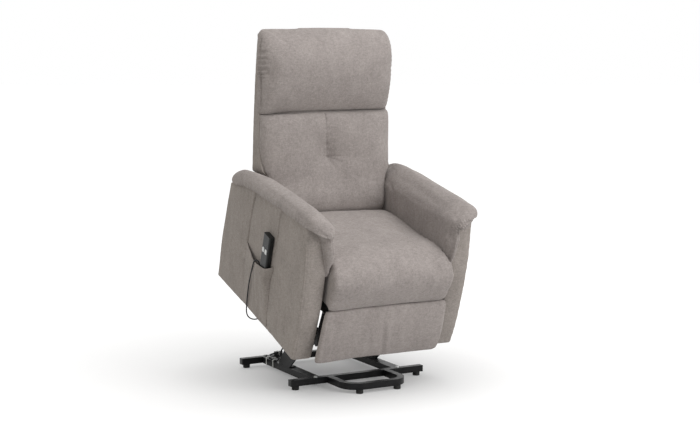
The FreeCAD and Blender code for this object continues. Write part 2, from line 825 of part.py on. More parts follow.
def arm_frame():
    """Timber posts and rails inside the arm."""
    x0, size = arm_inner_x + arm_rail_inset, arm_rail_size
    front, rear, top = arm_post_front_y, arm_post_rear_y, arm_rear_top[1] - 50
    return Part.makeCompound([
        block(x0, x0 + size, front, front + size, 20, top),
        block(x0, x0 + size, rear, rear + size, 20, top),
        block(x0, x0 + size, front + size, rear, 20, 20 + size),
        block(x0, x0 + size, front + size, rear, top - size, top),
    ])


def arm_blank():
    """Arm outline swept across its width, with the outer face leaning out."""
    def place(point):
        return (arm_inner_x, point[0], point[1])

    wire = chain_wire([
        (place(arm_front_bow), place((arm_top_front_y, arm_front_top))),
        (place((arm_top_middle_y, arm_front_top - arm_middle_drop)),),
        (place((arm_top_rear_y, arm_front_top - arm_rear_drop)),),
        (place(arm_rear_top),),
        (place(arm_rear_bow), place((arm_length, arm_bottom_rear_z))),
        (place(arm_bottom_middle),),
        (place(arm_front_foot),),
    ])
    body = Part.Face(wire).extrude(Vector(arm_outer_top_x + 20 - arm_inner_x, 0, 0))
    low, top = arm_front_foot[1] - 20, arm_front_top + 20
    slab = polygon([(arm_outer_x(low), -60, low), (arm_outer_x(top), -60, top), (arm_outer_top_x + 80, -60, top),
                    (arm_outer_top_x + 80, -60, low)]).extrude(Vector(0, arm_length + 120, 0))
    return body.cut(slab)


def arm_panel():
    """Upholstered arm with its upright edges rounded."""
    blank = arm_blank()
    upright = []
    for edge in blank.Edges:
        middle = edge.valueAt((edge.FirstParameter + edge.LastParameter) / 2)
        at_front = middle.y < 40 and 40 < middle.z < arm_front_top - 20
        at_rear = middle.y > arm_rear_top[0] and 40 < middle.z < arm_rear_top[1] - 20
        if at_front or at_rear:
            upright.append(edge)
    return blank.makeFillet(arm_edge_radius, upright)


def arm_top_z(y):
    """Height of the arm's top at a distance back."""
    corners = [(arm_top_front_y, arm_front_top), (arm_top_middle_y, arm_front_top - arm_middle_drop),
               (arm_top_rear_y, arm_front_top - arm_rear_drop), arm_rear_top]
    if y <= arm_top_front_y:
        return arm_front_top
    for (y0, z0), (y1, z1) in zip(corners, corners[1:]):
        if y <= y1:
            return z0 + (z1 - z0) * (y - y0) / (y1 - y0)
    return arm_rear_top[1]


def arm_front_y(z):
    """Place of the arm's bowed front face at a height."""
    (y0, z0), (y1, z1), (y2, z2) = arm_front_foot, arm_front_bow, (arm_top_front_y, arm_front_top)
    return (y0 * (z - z1) * (z - z2) / ((z0 - z1) * (z0 - z2)) + y1 * (z - z0) * (z - z2) / ((z1 - z0) * (z1 - z2))
            + y2 * (z - z0) * (z - z1) / ((z2 - z0) * (z2 - z1)))


def pad_section(y, inner_inset, outer_inset, top):
    """Outline across the arm pad: inner side, crown, outer roll and underside."""
    inner, outer = pad_inner_x + inner_inset, pad_outer_x - outer_inset
    low = arm_top_z(y)
    rise = top - low
    ridge = outer - 36
    shoulder = top - 0.6 * rise
    crown_x = inner + 3 + 0.36 * (ridge - inner - 3)
    return chain_wire([
        ((inner, y, (low + shoulder) / 2), (inner + 3, y, shoulder)),
        ((crown_x, y, shoulder + 0.4 * rise), (ridge, y, top)),
        ((outer - 10, y, top - 0.2 * rise), (outer, y, top - 0.5 * rise)),
        ((outer - 3, y, low + 0.12 * rise), (outer - 15, y, low)),
        ((inner, y, low),),
    ])


def pad_flank():
    """Padding down the arm's inner side, drawn in beside the backrest."""
    x0, x1 = pad_inner_x, arm_inner_x
    outline = flank_front + [
        (arm_top_front_y, arm_front_top), (arm_top_middle_y, arm_front_top - arm_middle_drop),
        (arm_top_rear_y, arm_front_top - arm_rear_drop), (pad_rear_y, arm_top_z(pad_rear_y)),
        (pad_rear_y, flank_rear_z), (pad_rear_y - 30, flank_bottom_z), (14, flank_bottom_z),
    ]
    slab = side_profile(outline, x0, x1)
    z = flank_recess_z
    recess = polygon([
        (x0 - 1, flank_recess_y, z), (x0, flank_recess_y, z), (x0 + 7, flank_recess_full_y, z),
        (x0 + 9, arm_top_rear_y, z), (x0 + 11, pad_rear_y + 1, z), (x0 - 1, pad_rear_y + 1, z),
    ])
    return slab.cut(recess.extrude(Vector(0, 0, z)))


def pad_band():
    """Roll of padding that turns down over the arm's front face and narrows to its inner corner."""
    sections = []
    rear = arm_top_front_y
    for z, front, edge in front_band:
        face = arm_front_y(z)
        sections.append(chain_wire([
            ((arm_inner_x, front, z),),
            (((arm_inner_x + edge) / 2, front + 0.22 * (face - front), z), (edge, face - 2, z)),
            ((edge, rear, z),),
            ((arm_inner_x, rear, z),),
        ]))
    return loft(sections).cut(arm_blank())


def arm_pad():
    """Padded cover over the arm's top, down its inner side and over its front."""
    return Part.makeCompound([loft([pad_section(*s) for s in pad_stations]), pad_flank(), pad_band()])


def handset_socket():
    """Socket let into the arm's underside for the handset's lead."""
    x, y = -socket_place[0], socket_place[1]
    body = block(-x - 12, -x + 12, y - 15, y + 15, 0, 18)
    return body


def rear_panel():
    y0, z1 = arm_length - rear_panel_inset, rear_panel_top_z
    panel = block(-arm_inner_x, arm_inner_x, y0, y0 + rear_panel_thickness, rear_panel_bottom_z, z1)
    upper = [e for e in panel.Edges if abs(e.CenterOfMass.z - z1) < 0.1 and abs(e.CenterOfMass.x) < 1]
    return panel.makeFillet(3, upper)


# Handset and its pocket, drawn on the left and mirrored


def place_handset(shape):
    """Lean a shape drawn about the handset's centre against the arm's outer face."""
    y, z = handset_centre
    moved = shape.copy()
    outward = math.degrees(math.atan2(arm_outer_top_x - arm_outer_bottom_x, arm_rear_top[1]))
    moved.rotate(Vector(0, 0, 0), Vector(1, 0, 0), handset_lean)
    moved.rotate(Vector(0, 0, 0), Vector(0, 1, 0), outward)
    moved.translate(Vector(arm_outer_x(z) + handset_stand_off + handset_thickness / 2, y, z))
    return mirrored(moved)


def button_block(y, grow, x0, x1):
    half_w, half_h = button_width / 2 + grow, button_height / 2 + grow
    cap = block(x0, x1, y - half_w, y + half_w, button_rise - half_h, button_rise + half_h)
    upright = [e for e in cap.Edges if abs(e.CenterOfMass.x - (x0 + x1) / 2) < 0.01]
    return cap.makeFillet(4, upright)


def handset_case():
    """Rounded slab with a well for each button."""
    t, w, h = handset_thickness / 2, handset_width / 2, handset_length / 2
    case = block(-t, t, -w, w, -h, h)
    long_edges = [e for e in case.Edges if abs(e.CenterOfMass.z) < 0.1]
    case = case.makeFillet(6, long_edges)
    face = t - button_depth - button_travel - button_clearance
    for side in (-1, 1):
        case = case.cut(button_block(side * button_spacing / 2, button_clearance, face, t + 1))
    return place_handset(case)


def handset_button(side):
    t = handset_thickness / 2
    cap = button_block(side * button_spacing / 2, 0, t - button_depth, t + button_proud)
    outer = [e for e in cap.Edges if abs(e.CenterOfMass.x - t - button_proud) < 0.1]
    return place_handset(cap.makeFillet(1, outer))


def pocket_section(y, bulge, mouth):
    """Cloth outline at one place along the arm, standing off by bulge at its mouth."""
    low, level, t = pocket_foot_z, pocket_knee_z, pocket_cloth
    middle = (low + level) / 2
    foot, knee, lip = arm_outer_x(low) + 0.2, arm_outer_x(level) + bulge, arm_outer_x(mouth) + bulge
    waist = arm_outer_x(middle) + bulge * 0.5
    return chain_wire([
        ((waist, y, middle), (knee, y, level)),
        ((lip, y, mouth),),
        ((lip + t, y, mouth),),
        ((knee + t, y, level),),
        ((waist + t, y, middle), (foot + t, y, low)),
        ((foot, y, low),),
    ])


def side_pocket():
    """Sagging cloth pocket between the arm panel's two upright seams."""
    full = handset_stand_off + handset_thickness + pocket_clearance
    return mirrored(loft([pocket_section(y, full * share, mouth) for y, share, mouth in pocket_stations]))


def handset_cord():
    return cord("handset_cord", handset_cord_route, handset_cord_diameter)


# Seat cushion


def seat_section(x, inset, drop):
    """Side outline of the seat: flat base, rear end, crowned top and rolled nose."""
    base = deck_top + soft_gap
    rear = seat_rear_y - inset
    nose = seat_nose_y + inset
    return chain_wire([
        ((x, rear, seat_top_z - 24 - drop),),
        ((x, 250, seat_top_z - drop), (x, 30, seat_top_z + 4 - drop)),
        ((x, nose, 316), (x, -42 + inset, base + 8 + inset / 2)),
        ((x, 0, base),),
        ((x, rear, base),),
    ])


def seat_cushion():
    w = seat_half_width
    sides = [(-1.0, 13, 13), (-0.965, 5, 6), (-0.86, 1, 2), (-0.45, 0, -3), (0.0, 0, -5)]
    sides += [(-share, inset, drop) for share, inset, drop in sides[-2::-1]]
    return loft([seat_section(w * share, inset, drop) for share, inset, drop in sides])


# Footrest, drawn folded under the seat


def toggle_pin():
    """Place of the guide bar's pin, given along and across the toggle link."""
    elbow, pin = footrest_elbow, footrest_pin
    length = math.hypot(pin[0] - elbow[0], pin[1] - elbow[1])
    uy, uz = (pin[0] - elbow[0]) / length, (pin[1] - elbow[1]) / length
    y = elbow[0] + guide_bar_along * uy - guide_bar_across * uz
    z = elbow[1] + guide_bar_along * uz + guide_bar_across * uy
    return (y, z)


def footrest_link():
    x0, x1 = strip_one_x, strip_one_x + strip_thickness
    bar = bar_plate(footrest_pivot, footrest_elbow, strip_half_width, x0, x1)
    bar = drilled(bar, [(footrest_pivot, rivet_radius + running_clearance), (footrest_elbow, rivet_radius)], x0, x1)
    return both_sides(bar)


def footrest_toggle():
    x0, x1 = strip_two_x, strip_two_x + strip_thickness
    long_bar = bar_plate(footrest_elbow, footrest_pin, strip_half_width, x0, x1)
    stub = bar_plate(footrest_elbow, toggle_pin(), strip_half_width, x0, x1)
    holes = [(footrest_elbow, rivet_radius + running_clearance), (footrest_pin, rivet_radius + running_clearance),
             (toggle_pin(), rivet_radius)]
    return both_sides(drilled(fuse([long_bar, stub]), holes, x0, x1))


def footrest_guide_bar():
    x0, x1 = strip_three_x, strip_three_x + strip_thickness
    bar = bar_plate(guide_bar_pivot, toggle_pin(), strip_half_width, x0, x1)
    holes = [(guide_bar_pivot, rivet_radius + running_clearance), (toggle_pin(), rivet_radius + guide_bar_clearance)]
    return both_sides(drilled(bar, holes, x0, x1))


def frame_rivets():
    """Rivets fixed in the side plates for the footrest's two inner pivots."""
    rivets = [cylinder_x(plate_x, strip_one_x + strip_thickness, footrest_pivot, rivet_radius),
              cylinder_x(plate_x, strip_three_x + strip_thickness, guide_bar_pivot, rivet_radius)]
    return both_sides(Part.makeCompound(rivets))


def elbow_rivets():
    return both_sides(cylinder_x(strip_one_x, strip_two_x + strip_thickness, footrest_elbow, rivet_radius))


def toggle_rivets():
    return both_sides(cylinder_x(strip_two_x, strip_three_x + strip_thickness, toggle_pin(), rivet_radius))


def footrest_rivets():
    return both_sides(cylinder_x(strip_one_x, strip_two_x + strip_thickness, footrest_pin, rivet_radius))


def footrest_brackets():
    x0, x1 = strip_one_x, strip_one_x + strip_thickness
    front, rear = footrest_board_y + 0.5, footrest_board_y + footrest_board_thickness
    y, z = footrest_pin
    low, high = z - footrest_bracket_drop, z + footrest_bracket_rise
    plate = side_profile([
        (front, low), (rear, low), (y + 10, z - 12), (y + 10, z + 8), (rear, high), (front, high),
    ], x0, x1)
    return both_sides(drilled(plate, [(footrest_pin, rivet_radius)], x0, x1))


def footrest_board():
    return block(-strip_one_x, strip_one_x, footrest_board_y, footrest_board_y + footrest_board_thickness,
                 14, footrest_height - 14)


def footrest_pad_section(x, inset, crown):
    back, front = footrest_board_y, footrest_front_y + inset
    low, high = inset * 0.7, footrest_height - inset * 0.7
    return chain_wire([
        ((x, (back + front) / 2 - 2, high - 1.5), (x, front + 4, high - 9)),
        ((x, front - crown, (low + high) / 2), (x, front + 4, low + 9)),
        ((x, (back + front) / 2 - 2, low + 1.5), (x, back, low + 2)),
        ((x, back, high - 2),),
    ])


def footrest_pad():
    w = footrest_half_width
    sides = [(-1.0, 12, 1), (-0.97, 4, 2), (-0.88, 1, 4), (-0.45, 0, 5), (0.0, 0, 6)]
    sides += [(-share, inset, crown) for share, inset, crown in sides[-2::-1]]
    return loft([footrest_pad_section(w * share, inset, crown) for share, inset, crown in sides])


# Backrest


def shell_blank():
    """Back shell and gussets: a side outline swept across, narrower between the arms."""
    w, neck = back_half_width, back_neck_half_width

    def place(point):
        return (-w, point[0], point[1])

    low, middle, high = [place(p) for p in shell_front]
    rear_high, rear_middle, rear_low = [place(p) for p in shell_rear]
    wire = chain_wire([
        (place(shell_foot_front),),
        (low, middle),
        (high, (-w, shell_top_front_y, back_top_z)),
        ((-w, shell_top_rear_y, back_top_z),),
        (rear_high, rear_middle),
        (rear_low, (-w, shell_bottom[1], back_bottom_z)),
        ((-w, shell_bottom[0], back_bottom_z),),
    ])
    body = Part.Face(wire).extrude(Vector(2 * w, 0, 0))
    front, start, end = wing_cut_front_y, wing_slope_start_y, wing_slope_end
    low, rear, side = wing_cut_bottom_z, wing_cut_rear_y, w + wing_cut_margin
    level = polygon([
        (neck, front, low), (side, front, low), (side, front, wing_bottom_z), (w - 10, front, wing_bottom_z),
        (neck + 2, front, wing_bottom_z - 22), (neck, front, wing_bottom_z - 50),
    ]).extrude(Vector(0, start - front, 0))
    sloped = side_profile([(start, low), (start, wing_bottom_z), end, (rear, end[1]), (rear, low)], neck, side)
    for cut in (level, sloped):
        body = body.cut(cut).cut(mirrored(cut))
    return body


def back_frame():
    """Timber posts with three cross rails, inside the shell."""
    x1 = strip_one_x
    x0, depth, height = x1 - back_post_width, back_post_depth / 2, back_post_length
    bars = [block(x0, x1, -depth, depth, 0, height), block(-x1, -x0, -depth, depth, 0, height)]
    bars += [block(-x0, x0, -depth, depth, z, z + back_rail_depth) for z in back_rail_rises]
    frame = Part.makeCompound(bars)
    frame.rotate(Vector(0, 0, 0), Vector(1, 0, 0), -back_post_lean)
    frame.translate(Vector(0, back_post_foot[0], back_post_foot[1]))
    return frame


def back_brackets():
    """Steel brackets from the hinge pins up the outside of the posts."""
    x0, x1 = strip_one_x, strip_one_x + strip_thickness
    bars = [bar_plate(back_hinge, back_bracket_knee, 17, x0, x1),
            bar_plate(back_bracket_knee, back_bracket_top, 17, x0, x1)]
    return both_sides(drilled(fuse(bars), [(back_hinge, pin_radius + running_clearance)], x0, x1))


def back_hinge_pins():
    x1 = strip_one_x + strip_thickness + 0.4
    return both_sides(headed_pin(plate_x, x1, back_hinge, pin_radius))


def back_shell():
    return shell_blank().cut(back_frame()).cut(back_brackets())


def cushion_section(z, half_width, rear, front, roll, valley):
    """Level outline of a back cushion with two lobes and a valley between them."""
    w, side = half_width, front + roll
    return chain_wire([
        ((w + 1, (rear + side) / 2, z), (w - roll * 0.12, side, z)),
        ((w - roll * 0.45, front + roll * 0.3, z), (w - roll, front + roll * 0.06, z)),
        ((w / 2, front - 3, z), (0, front + valley, z)),
        ((-w / 2, front - 3, z), (-w + roll, front + roll * 0.06, z)),
        ((-w + roll * 0.45, front + roll * 0.3, z), (-w + roll * 0.12, side, z)),
        ((-w - 1, (rear + side) / 2, z), (-w, rear, z)),
        ((w, rear, z),),
    ])


def lumbar_cushion():
    """Lower back cushion: lobes either side of a sewn seam and a tuft."""
    return loft([cushion_section(*s) for s in lumbar_stations]).cut(shell_blank())


def head_cushion():
    """Upper back cushion, rolled over the top of the shell."""
    return loft([cushion_section(*s) for s in head_stations]).cut(shell_blank())


# Lead along the base, with its ties, connector and socket


def power_lead():
    return cord("power_lead", power_lead_route, lead_diameter)


def connector_y_range():
    y = power_lead_route[0][1]
    return y - connector_width / 2, y + connector_width / 2


def lead_connector():
    """Inline connector on top of the rear crossbar."""
    x = power_lead_route[0][0]
    y0, y1 = connector_y_range()
    shell = block(x, x + connector_length, y0, y1, tube_top, tube_top + connector_height)
    middle = tube_top + connector_height / 2
    return shell.makeFillet(2.5, [e for e in shell.Edges if abs(e.CenterOfMass.z - middle) < 0.6])


def power_socket():
    """Junction box on the right riser's inner face, where the lead ends."""
    y, z = power_lead_route[-1][1], power_lead_route[-1][2]
    return block(-riser_inner_x, -riser_inner_x + 24, y - 28, y, z - 12, z + 12)


def band(points, plane, place):
    """Thin closed strap round the given outline, in the xz or yz plane."""
    half = tie_width / 2
    if plane == "xz":
        inner = Part.makePolygon([Vector(a, place - half, b) for a, b in points + points[:1]])
        along = Vector(0, tie_width, 0)
    else:
        inner = Part.makePolygon([Vector(place - half, a, b) for a, b in points + points[:1]])
        along = Vector(tie_width, 0, 0)
    outer = inner.makeOffset2D(tie_thickness)
    return Part.Face(outer).extrude(along).cut(Part.Face(inner).extrude(along))


def cable_ties():
    """Straps that hold the lead down on the rail and the crossbar."""
    g = tie_gap
    x1, x0 = -rail_centre_x + rail_width / 2 + g, -rail_centre_x - rail_width / 2 - g
    low, high, over = tube_bottom - g, tube_top + g, tube_top + lead_diameter + 0.6
    ties = []
    for y, x in rail_ties:
        outline = [(x0, low), (x0, high + 3), (x - 2, over), (x + 2, over), (x + 7, high), (x1, high), (x1, low)]
        ties.append(band(outline, "xz", y))
    y0, y1 = rear_crossbar_y - crossbar_width / 2 - g, rear_crossbar_y + crossbar_width / 2 + g
    x = power_lead_route[0][0] + connector_length / 2
    front, rear = connector_y_range()
    front, rear, over = front - g, rear + g, tube_top + connector_height + g
    outline = [(y0, low), (y0, high), (front, high), (front, over), (rear, over), (rear, high), (y1, high), (y1, low)]
    ties.append(band(outline, "yz", x))
    return Part.makeCompound(ties)


def model():
    """Every node's shape in the raised position."""
    panel = arm_panel().cut(arm_frame())
    base = {
        "front_crossbar": crossbar(front_crossbar_y, front_crossbar_y),
        "rear_crossbar": crossbar(rear_crossbar_y, rear_crossbar_y),
        "side_rails": both_sides(side_rail()),
        "front_loop": front_loop(),
        "floor_feet": floor_feet(),
        "tube_end_caps": end_caps(),
        "frame_bolts": frame_bolts(),
        "lift_riser_left": lift_riser(),
        "lift_riser_right": mirrored(lift_riser()),
        "guide_pivot_pins": guide_pivot_pins(),
        "actuator_anchor": actuator_anchor(),
        "anchor_pin": anchor_pin(),
        "power_lead": power_lead(),
        "lead_connector": lead_connector(),
        "power_socket": power_socket(),
        "cable_ties": cable_ties(),
        "lift_link_left": lift_link(),
        "lift_link_right": mirrored(lift_link()),
        "torque_tube": torque_tube(),
        "pivot_shafts": pivot_shafts(),
        "lift_crank": lift_crank(),
        "crank_pin": crank_pin(),
        "guide_links": guide_links(),
        "actuator_gearbox": gearbox(),
        "lift_motor": lift_motor(),
        "actuator_tube": outer_tube(),
        "actuator_rod": actuator_rod(),
    }
    chair = {
        "seat_side_plates": both_sides(seat_side_plate()),
        "body_link_pins": body_link_pins(),
        "seat_cross_tubes": Part.makeCompound([seat_tube(front_tube_y), seat_tube(rear_tube_y)]),
        "seat_front_rail": seat_front_rail(),
        "seat_springs": seat_springs(),
        "seat_deck": seat_deck(),
        "seat_cushion": seat_cushion(),
        "arm_brackets": arm_brackets(),
        "arm_frames": both_sides(arm_frame()),
        "arm_left": panel,
        "arm_right": mirrored(panel).cut(handset_socket()),
        "arm_pad_left": arm_pad(),
        "arm_pad_right": mirrored(arm_pad()),
        "handset_socket": handset_socket(),
        "rear_panel": rear_panel(),
        "side_pocket": side_pocket(),
        "handset_case": handset_case(),
        "raise_button": handset_button(1),
        "lower_button": handset_button(-1),
        "handset_cord": handset_cord(),
        "frame_rivets": frame_rivets(),
        "footrest_links": footrest_link(),
        "footrest_toggles": footrest_toggle(),
        "footrest_guide_bars": footrest_guide_bar(),
        "elbow_rivets": elbow_rivets(),
        "footrest_brackets": fuse_pairs(footrest_brackets(), footrest_rivets()),
        "footrest_board": footrest_board(),
        "footrest_pad": footrest_pad(),
        "back_hinge_pins": back_hinge_pins(),
        "back_brackets": back_brackets(),
        "back_frame": back_frame(),
        "back_shell": back_shell(),
        "lumbar_cushion": lumbar_cushion(),
        "head_cushion": head_cushion(),
    }
    chair["footrest_toggles"] = fuse_pairs(chair["footrest_toggles"], toggle_rivets())
    chair["footrest_links"] = fuse_pairs(chair["footrest_links"], chair.pop("elbow_rivets"))
    return {**base, **{name: raise_body(shape) for name, shape in chair.items()}}


def fuse_pairs(plates, rivets):
    """Fuse each plate with the rivet on its side."""
    return Part.makeCompound([plate.fuse(rivet) for plate, rivet in zip(plates.Solids, rivets.Solids)])


def main():
    os.makedirs("parts", exist_ok=True)
    nodes = model()
    for name, shape in nodes.items():
        bad = [s for s in shape.Solids if not s.isValid()]
        print(name, "solids", len(shape.Solids), "litres", round(shape.Volume / 1e6, 3), "not valid" if bad else "")
        shape.exportStep("parts/" + name + ".step")
    print("nodes", len(nodes))


main()
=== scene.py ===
import bpy
import json
import numpy as np
from math import copysign, cos, exp, pi, radians, sin, sqrt
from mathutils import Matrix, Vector, noise


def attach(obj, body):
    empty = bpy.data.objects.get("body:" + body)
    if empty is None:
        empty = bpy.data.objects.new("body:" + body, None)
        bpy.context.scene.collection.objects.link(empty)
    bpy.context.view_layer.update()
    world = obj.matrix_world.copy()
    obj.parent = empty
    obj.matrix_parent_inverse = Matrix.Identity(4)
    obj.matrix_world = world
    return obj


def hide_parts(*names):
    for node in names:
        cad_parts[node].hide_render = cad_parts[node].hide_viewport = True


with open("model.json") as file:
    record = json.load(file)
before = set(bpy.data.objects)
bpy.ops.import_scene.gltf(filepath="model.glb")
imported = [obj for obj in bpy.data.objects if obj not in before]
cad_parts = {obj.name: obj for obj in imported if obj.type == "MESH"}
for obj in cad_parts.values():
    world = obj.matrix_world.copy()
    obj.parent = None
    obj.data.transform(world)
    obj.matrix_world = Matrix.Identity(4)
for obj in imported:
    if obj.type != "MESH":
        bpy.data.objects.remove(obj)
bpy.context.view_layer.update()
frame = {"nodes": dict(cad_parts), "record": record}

mm = 0.001

# The chair body is drawn seated, as (x, distance back, height) in millimetres,
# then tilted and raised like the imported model.
bodyPlace = {"tilt": 16.9, "y": -256.0, "z": 146.0}


def raised(points):
    pts = np.asarray(points, dtype=float).reshape(-1, 3)
    tilt = radians(bodyPlace["tilt"])
    c, s = cos(tilt), sin(tilt)
    out = np.empty_like(pts)
    out[:, 0] = pts[:, 0]
    out[:, 1] = bodyPlace["y"] + pts[:, 1] * c - pts[:, 2] * s
    out[:, 2] = bodyPlace["z"] + pts[:, 1] * s + pts[:, 2] * c
    return out * mm


def seated(points):
    pts = np.asarray(points, dtype=float).reshape(-1, 3) / mm
    tilt = radians(bodyPlace["tilt"])
    c, s = cos(tilt), sin(tilt)
    y, z = pts[:, 1] - bodyPlace["y"], pts[:, 2] - bodyPlace["z"]
    return np.stack([pts[:, 0], y * c + z * s, z * c - y * s], axis=1)


# Camera, placed as in the photograph
camera = {"azimuth": 0.497, "elevation": 0.116, "distance": 6.0, "lens": 76.27,
          "target": (0.1043, 0.140, 0.6113)}


def placeCamera():
    a, e = camera["azimuth"], camera["elevation"]
    back = Vector((-sin(a) * cos(e), -cos(a) * cos(e), sin(e)))
    data = bpy.data.cameras.new("camera")
    data.lens = camera["lens"]
    data.sensor_width = 36
    data.clip_end = 50
    cam = bpy.data.objects.new("camera", data)
    cam.location = Vector(camera["target"]) + back * camera["distance"]
    cam.rotation_euler = back.to_track_quat("Z", "Y").to_euler()
    bpy.context.scene.collection.objects.link(cam)
    bpy.context.scene.camera = cam


placeCamera()
print("camera placed")


# Materials, all made from noise over the object's own space
def newMaterial(name):
    mat = bpy.data.materials.new(name)
    mat.use_nodes = True
    tree = mat.node_tree
    return mat, tree, tree.nodes["Principled BSDF"]


def addNode(tree, kind, **settings):
    made = tree.nodes.new(kind)
    for key, value in settings.items():
        if key in made.inputs:
            made.inputs[key].default_value = value
        else:
            setattr(made, key, value)
    return made


def stretchedNoise(tree, scale, detail, roughness=0.5):
    # noise over the object's own space, stretched by a scale for each axis
    place = addNode(tree, "ShaderNodeTexCoord")
    size = addNode(tree, "ShaderNodeMapping", Scale=scale)
    grain = addNode(tree, "ShaderNodeTexNoise", Scale=1.0, Detail=detail, Roughness=roughness)
    tree.links.new(place.outputs["Object"], size.inputs["Vector"])
    tree.links.new(size.outputs["Vector"], grain.inputs["Vector"])
    return grain.outputs["Fac"]


def feed(tree, socket, value):
    # value is a number, a colour or a socket
    if isinstance(value, bpy.types.NodeSocket):
        tree.links.new(value, socket)
    else:
        socket.default_value = value


def blendOf(tree, a, b, share):
    mix = addNode(tree, "ShaderNodeMix", data_type="RGBA")
    for place, value in ((0, share), (6, a), (7, b)):
        feed(tree, mix.inputs[place], value)
    return mix.outputs[2]


def sumOf(tree, a, b, operation="ADD"):
    add = addNode(tree, "ShaderNodeMath", operation=operation)
    feed(tree, add.inputs[0], a)
    feed(tree, add.inputs[1], b)
    return add.outputs[0]


def toneOf(tree, *layers):
    # noises added up, each by its share
    tone = 0.0
    for layer, share in layers:
        tone = sumOf(tree, tone, sumOf(tree, layer, share, "MULTIPLY"))
    return tone


def rampOf(tree, factor, stops):
    ramp = addNode(tree, "ShaderNodeValToRGB")
    elements = ramp.color_ramp.elements
    while len(elements) < len(stops):
        elements.new(0.5)
    for element, (place, color) in zip(elements, stops):
        element.position = place
        element.color = (*color, 1.0)
    tree.links.new(factor, ramp.inputs["Fac"])
    return ramp.outputs["Color"]


def bumpOf(tree, height, distance, strength=1.0, under=None):
    bump = addNode(tree, "ShaderNodeBump", Distance=distance, Strength=strength)
    tree.links.new(height, bump.inputs["Height"])
    if under is not None:
        tree.links.new(under, bump.inputs["Normal"])
    return bump.outputs["Normal"]


def surface(tree, shader, color, rough, normal, more):
    # more holds further inputs of the shader
    for name, value in {"Base Color": color, "Roughness": rough, "Normal": normal, **more}.items():
        feed(tree, shader.inputs[name], value)


upholstery = {
    "seatDark": (0.205, 0.182, 0.172), "seatLight": (0.415, 0.373, 0.355),
    # the panel tones are the seat's, painted a little darker and yellower as shade and yellow fill light on
    # the fabric panels
    "panelDarkWithShade": (0.199, 0.177, 0.161), "panelLightWithShade": (0.400, 0.358, 0.331),
    "threadsPerMetre": 560.0, "threadLength": 0.11, "weaveDepth": 0.0012,
    "fleck": 240.0, "fleckDepth": 0.0018, "mottle": 95.0, "patch": 9.0,
    "brushed": (34.0, 34.0, 13.0), "brushedDepth": 0.004,
    "roughness": 0.94, "specular": 0.12, "sheen": 0.22, "sheenRoughness": 0.45,
    "sheenTint": (0.84, 0.80, 0.77, 1.0),
}


def wovenFabric(name, dark, light):
    # crossed slubby threads under a brushed pile
    mat, tree, shader = newMaterial(name)
    fine = upholstery["threadsPerMetre"]
    along = fine * upholstery["threadLength"]
    weave = sumOf(tree, stretchedNoise(tree, (along, along, fine), 2.0, 0.6),
                  stretchedNoise(tree, (fine, fine, along), 2.0, 0.6))
    fleck = stretchedNoise(tree, (upholstery["fleck"],) * 3, 3.0, 0.7)
    mottle = stretchedNoise(tree, (upholstery["mottle"],) * 3, 4.0, 0.65)
    patch = stretchedNoise(tree, (upholstery["patch"],) * 3, 4.0, 0.55)
    brushed = stretchedNoise(tree, upholstery["brushed"], 3.0, 0.6)
    tone = toneOf(tree, (weave, 0.26), (fleck, 0.30), (mottle, 0.30), (patch, 0.20), (brushed, 0.16))
    soft = bumpOf(tree, brushed, upholstery["brushedDepth"], 0.30)
    pile = bumpOf(tree, fleck, upholstery["fleckDepth"], 0.6, soft)
    threads = bumpOf(tree, weave, upholstery["weaveDepth"], 0.6, pile)
    surface(tree, shader, rampOf(tree, tone, [(0.54, dark), (0.94, light)]), upholstery["roughness"], threads,
            {"Specular IOR Level": upholstery["specular"], "Sheen Weight": upholstery["sheen"],
             "Sheen Roughness": upholstery["sheenRoughness"], "Sheen Tint": upholstery["sheenTint"]})
    return mat


powderCoat = {
    "dark": (0.006, 0.006, 0.0065), "light": (0.015, 0.015, 0.016), "worn": (0.09, 0.09, 0.095, 1.0),
    "wornShare": 0.3, "roughness": (0.26, 0.46), "specular": 0.14, "coat": 0.04, "coatRoughness": 0.22,
}


def paintedSteel(name):
    # gloss black powder coat, slightly uneven, dulled by dust and thin at rubbed places
    mat, tree, shader = newMaterial(name)
    peel = stretchedNoise(tree, (420.0,) * 3, 2.0)
    dust = stretchedNoise(tree, (26.0, 26.0, 60.0), 5.0, 0.7)
    wear = stretchedNoise(tree, (90.0,) * 3, 6.0, 0.75)
    color = rampOf(tree, dust, [(0.35, powderCoat["dark"]), (0.75, powderCoat["light"])])
    chips = rampOf(tree, wear, [(0.70, (0.0, 0.0, 0.0)), (0.74, (1.0, 1.0, 1.0))])
    rubbed = sumOf(tree, chips, powderCoat["wornShare"], "MULTIPLY")
    color = blendOf(tree, color, powderCoat["worn"], rubbed)
    clean, dusty = powderCoat["roughness"]
    rough = rampOf(tree, dust, [(0.3, (clean,) * 3), (0.8, (dusty,) * 3)])
    surface(tree, shader, color, rough, bumpOf(tree, peel, 0.0004, 0.35),
            {"Specular IOR Level": powderCoat["specular"], "Coat Weight": powderCoat["coat"],
             "Coat Roughness": powderCoat["coatRoughness"]})
    return mat


def bareMetal(name, low, high, roughness, grain):
    # metal with fine drawn lines and a little staining
    mat, tree, shader = newMaterial(name)
    lines = stretchedNoise(tree, grain, 3.0, 0.7)
    stain = stretchedNoise(tree, (35.0,) * 3, 4.0)
    color = rampOf(tree, toneOf(tree, (lines, 0.5), (stain, 0.5)), [(0.3, low), (0.7, high)])
    rough = rampOf(tree, lines, [(0.2, (roughness * 0.7,) * 3), (0.8, (roughness * 1.3,) * 3)])
    surface(tree, shader, color, rough, bumpOf(tree, lines, 0.0002, 0.3), {"Metallic": 1.0})
    return mat


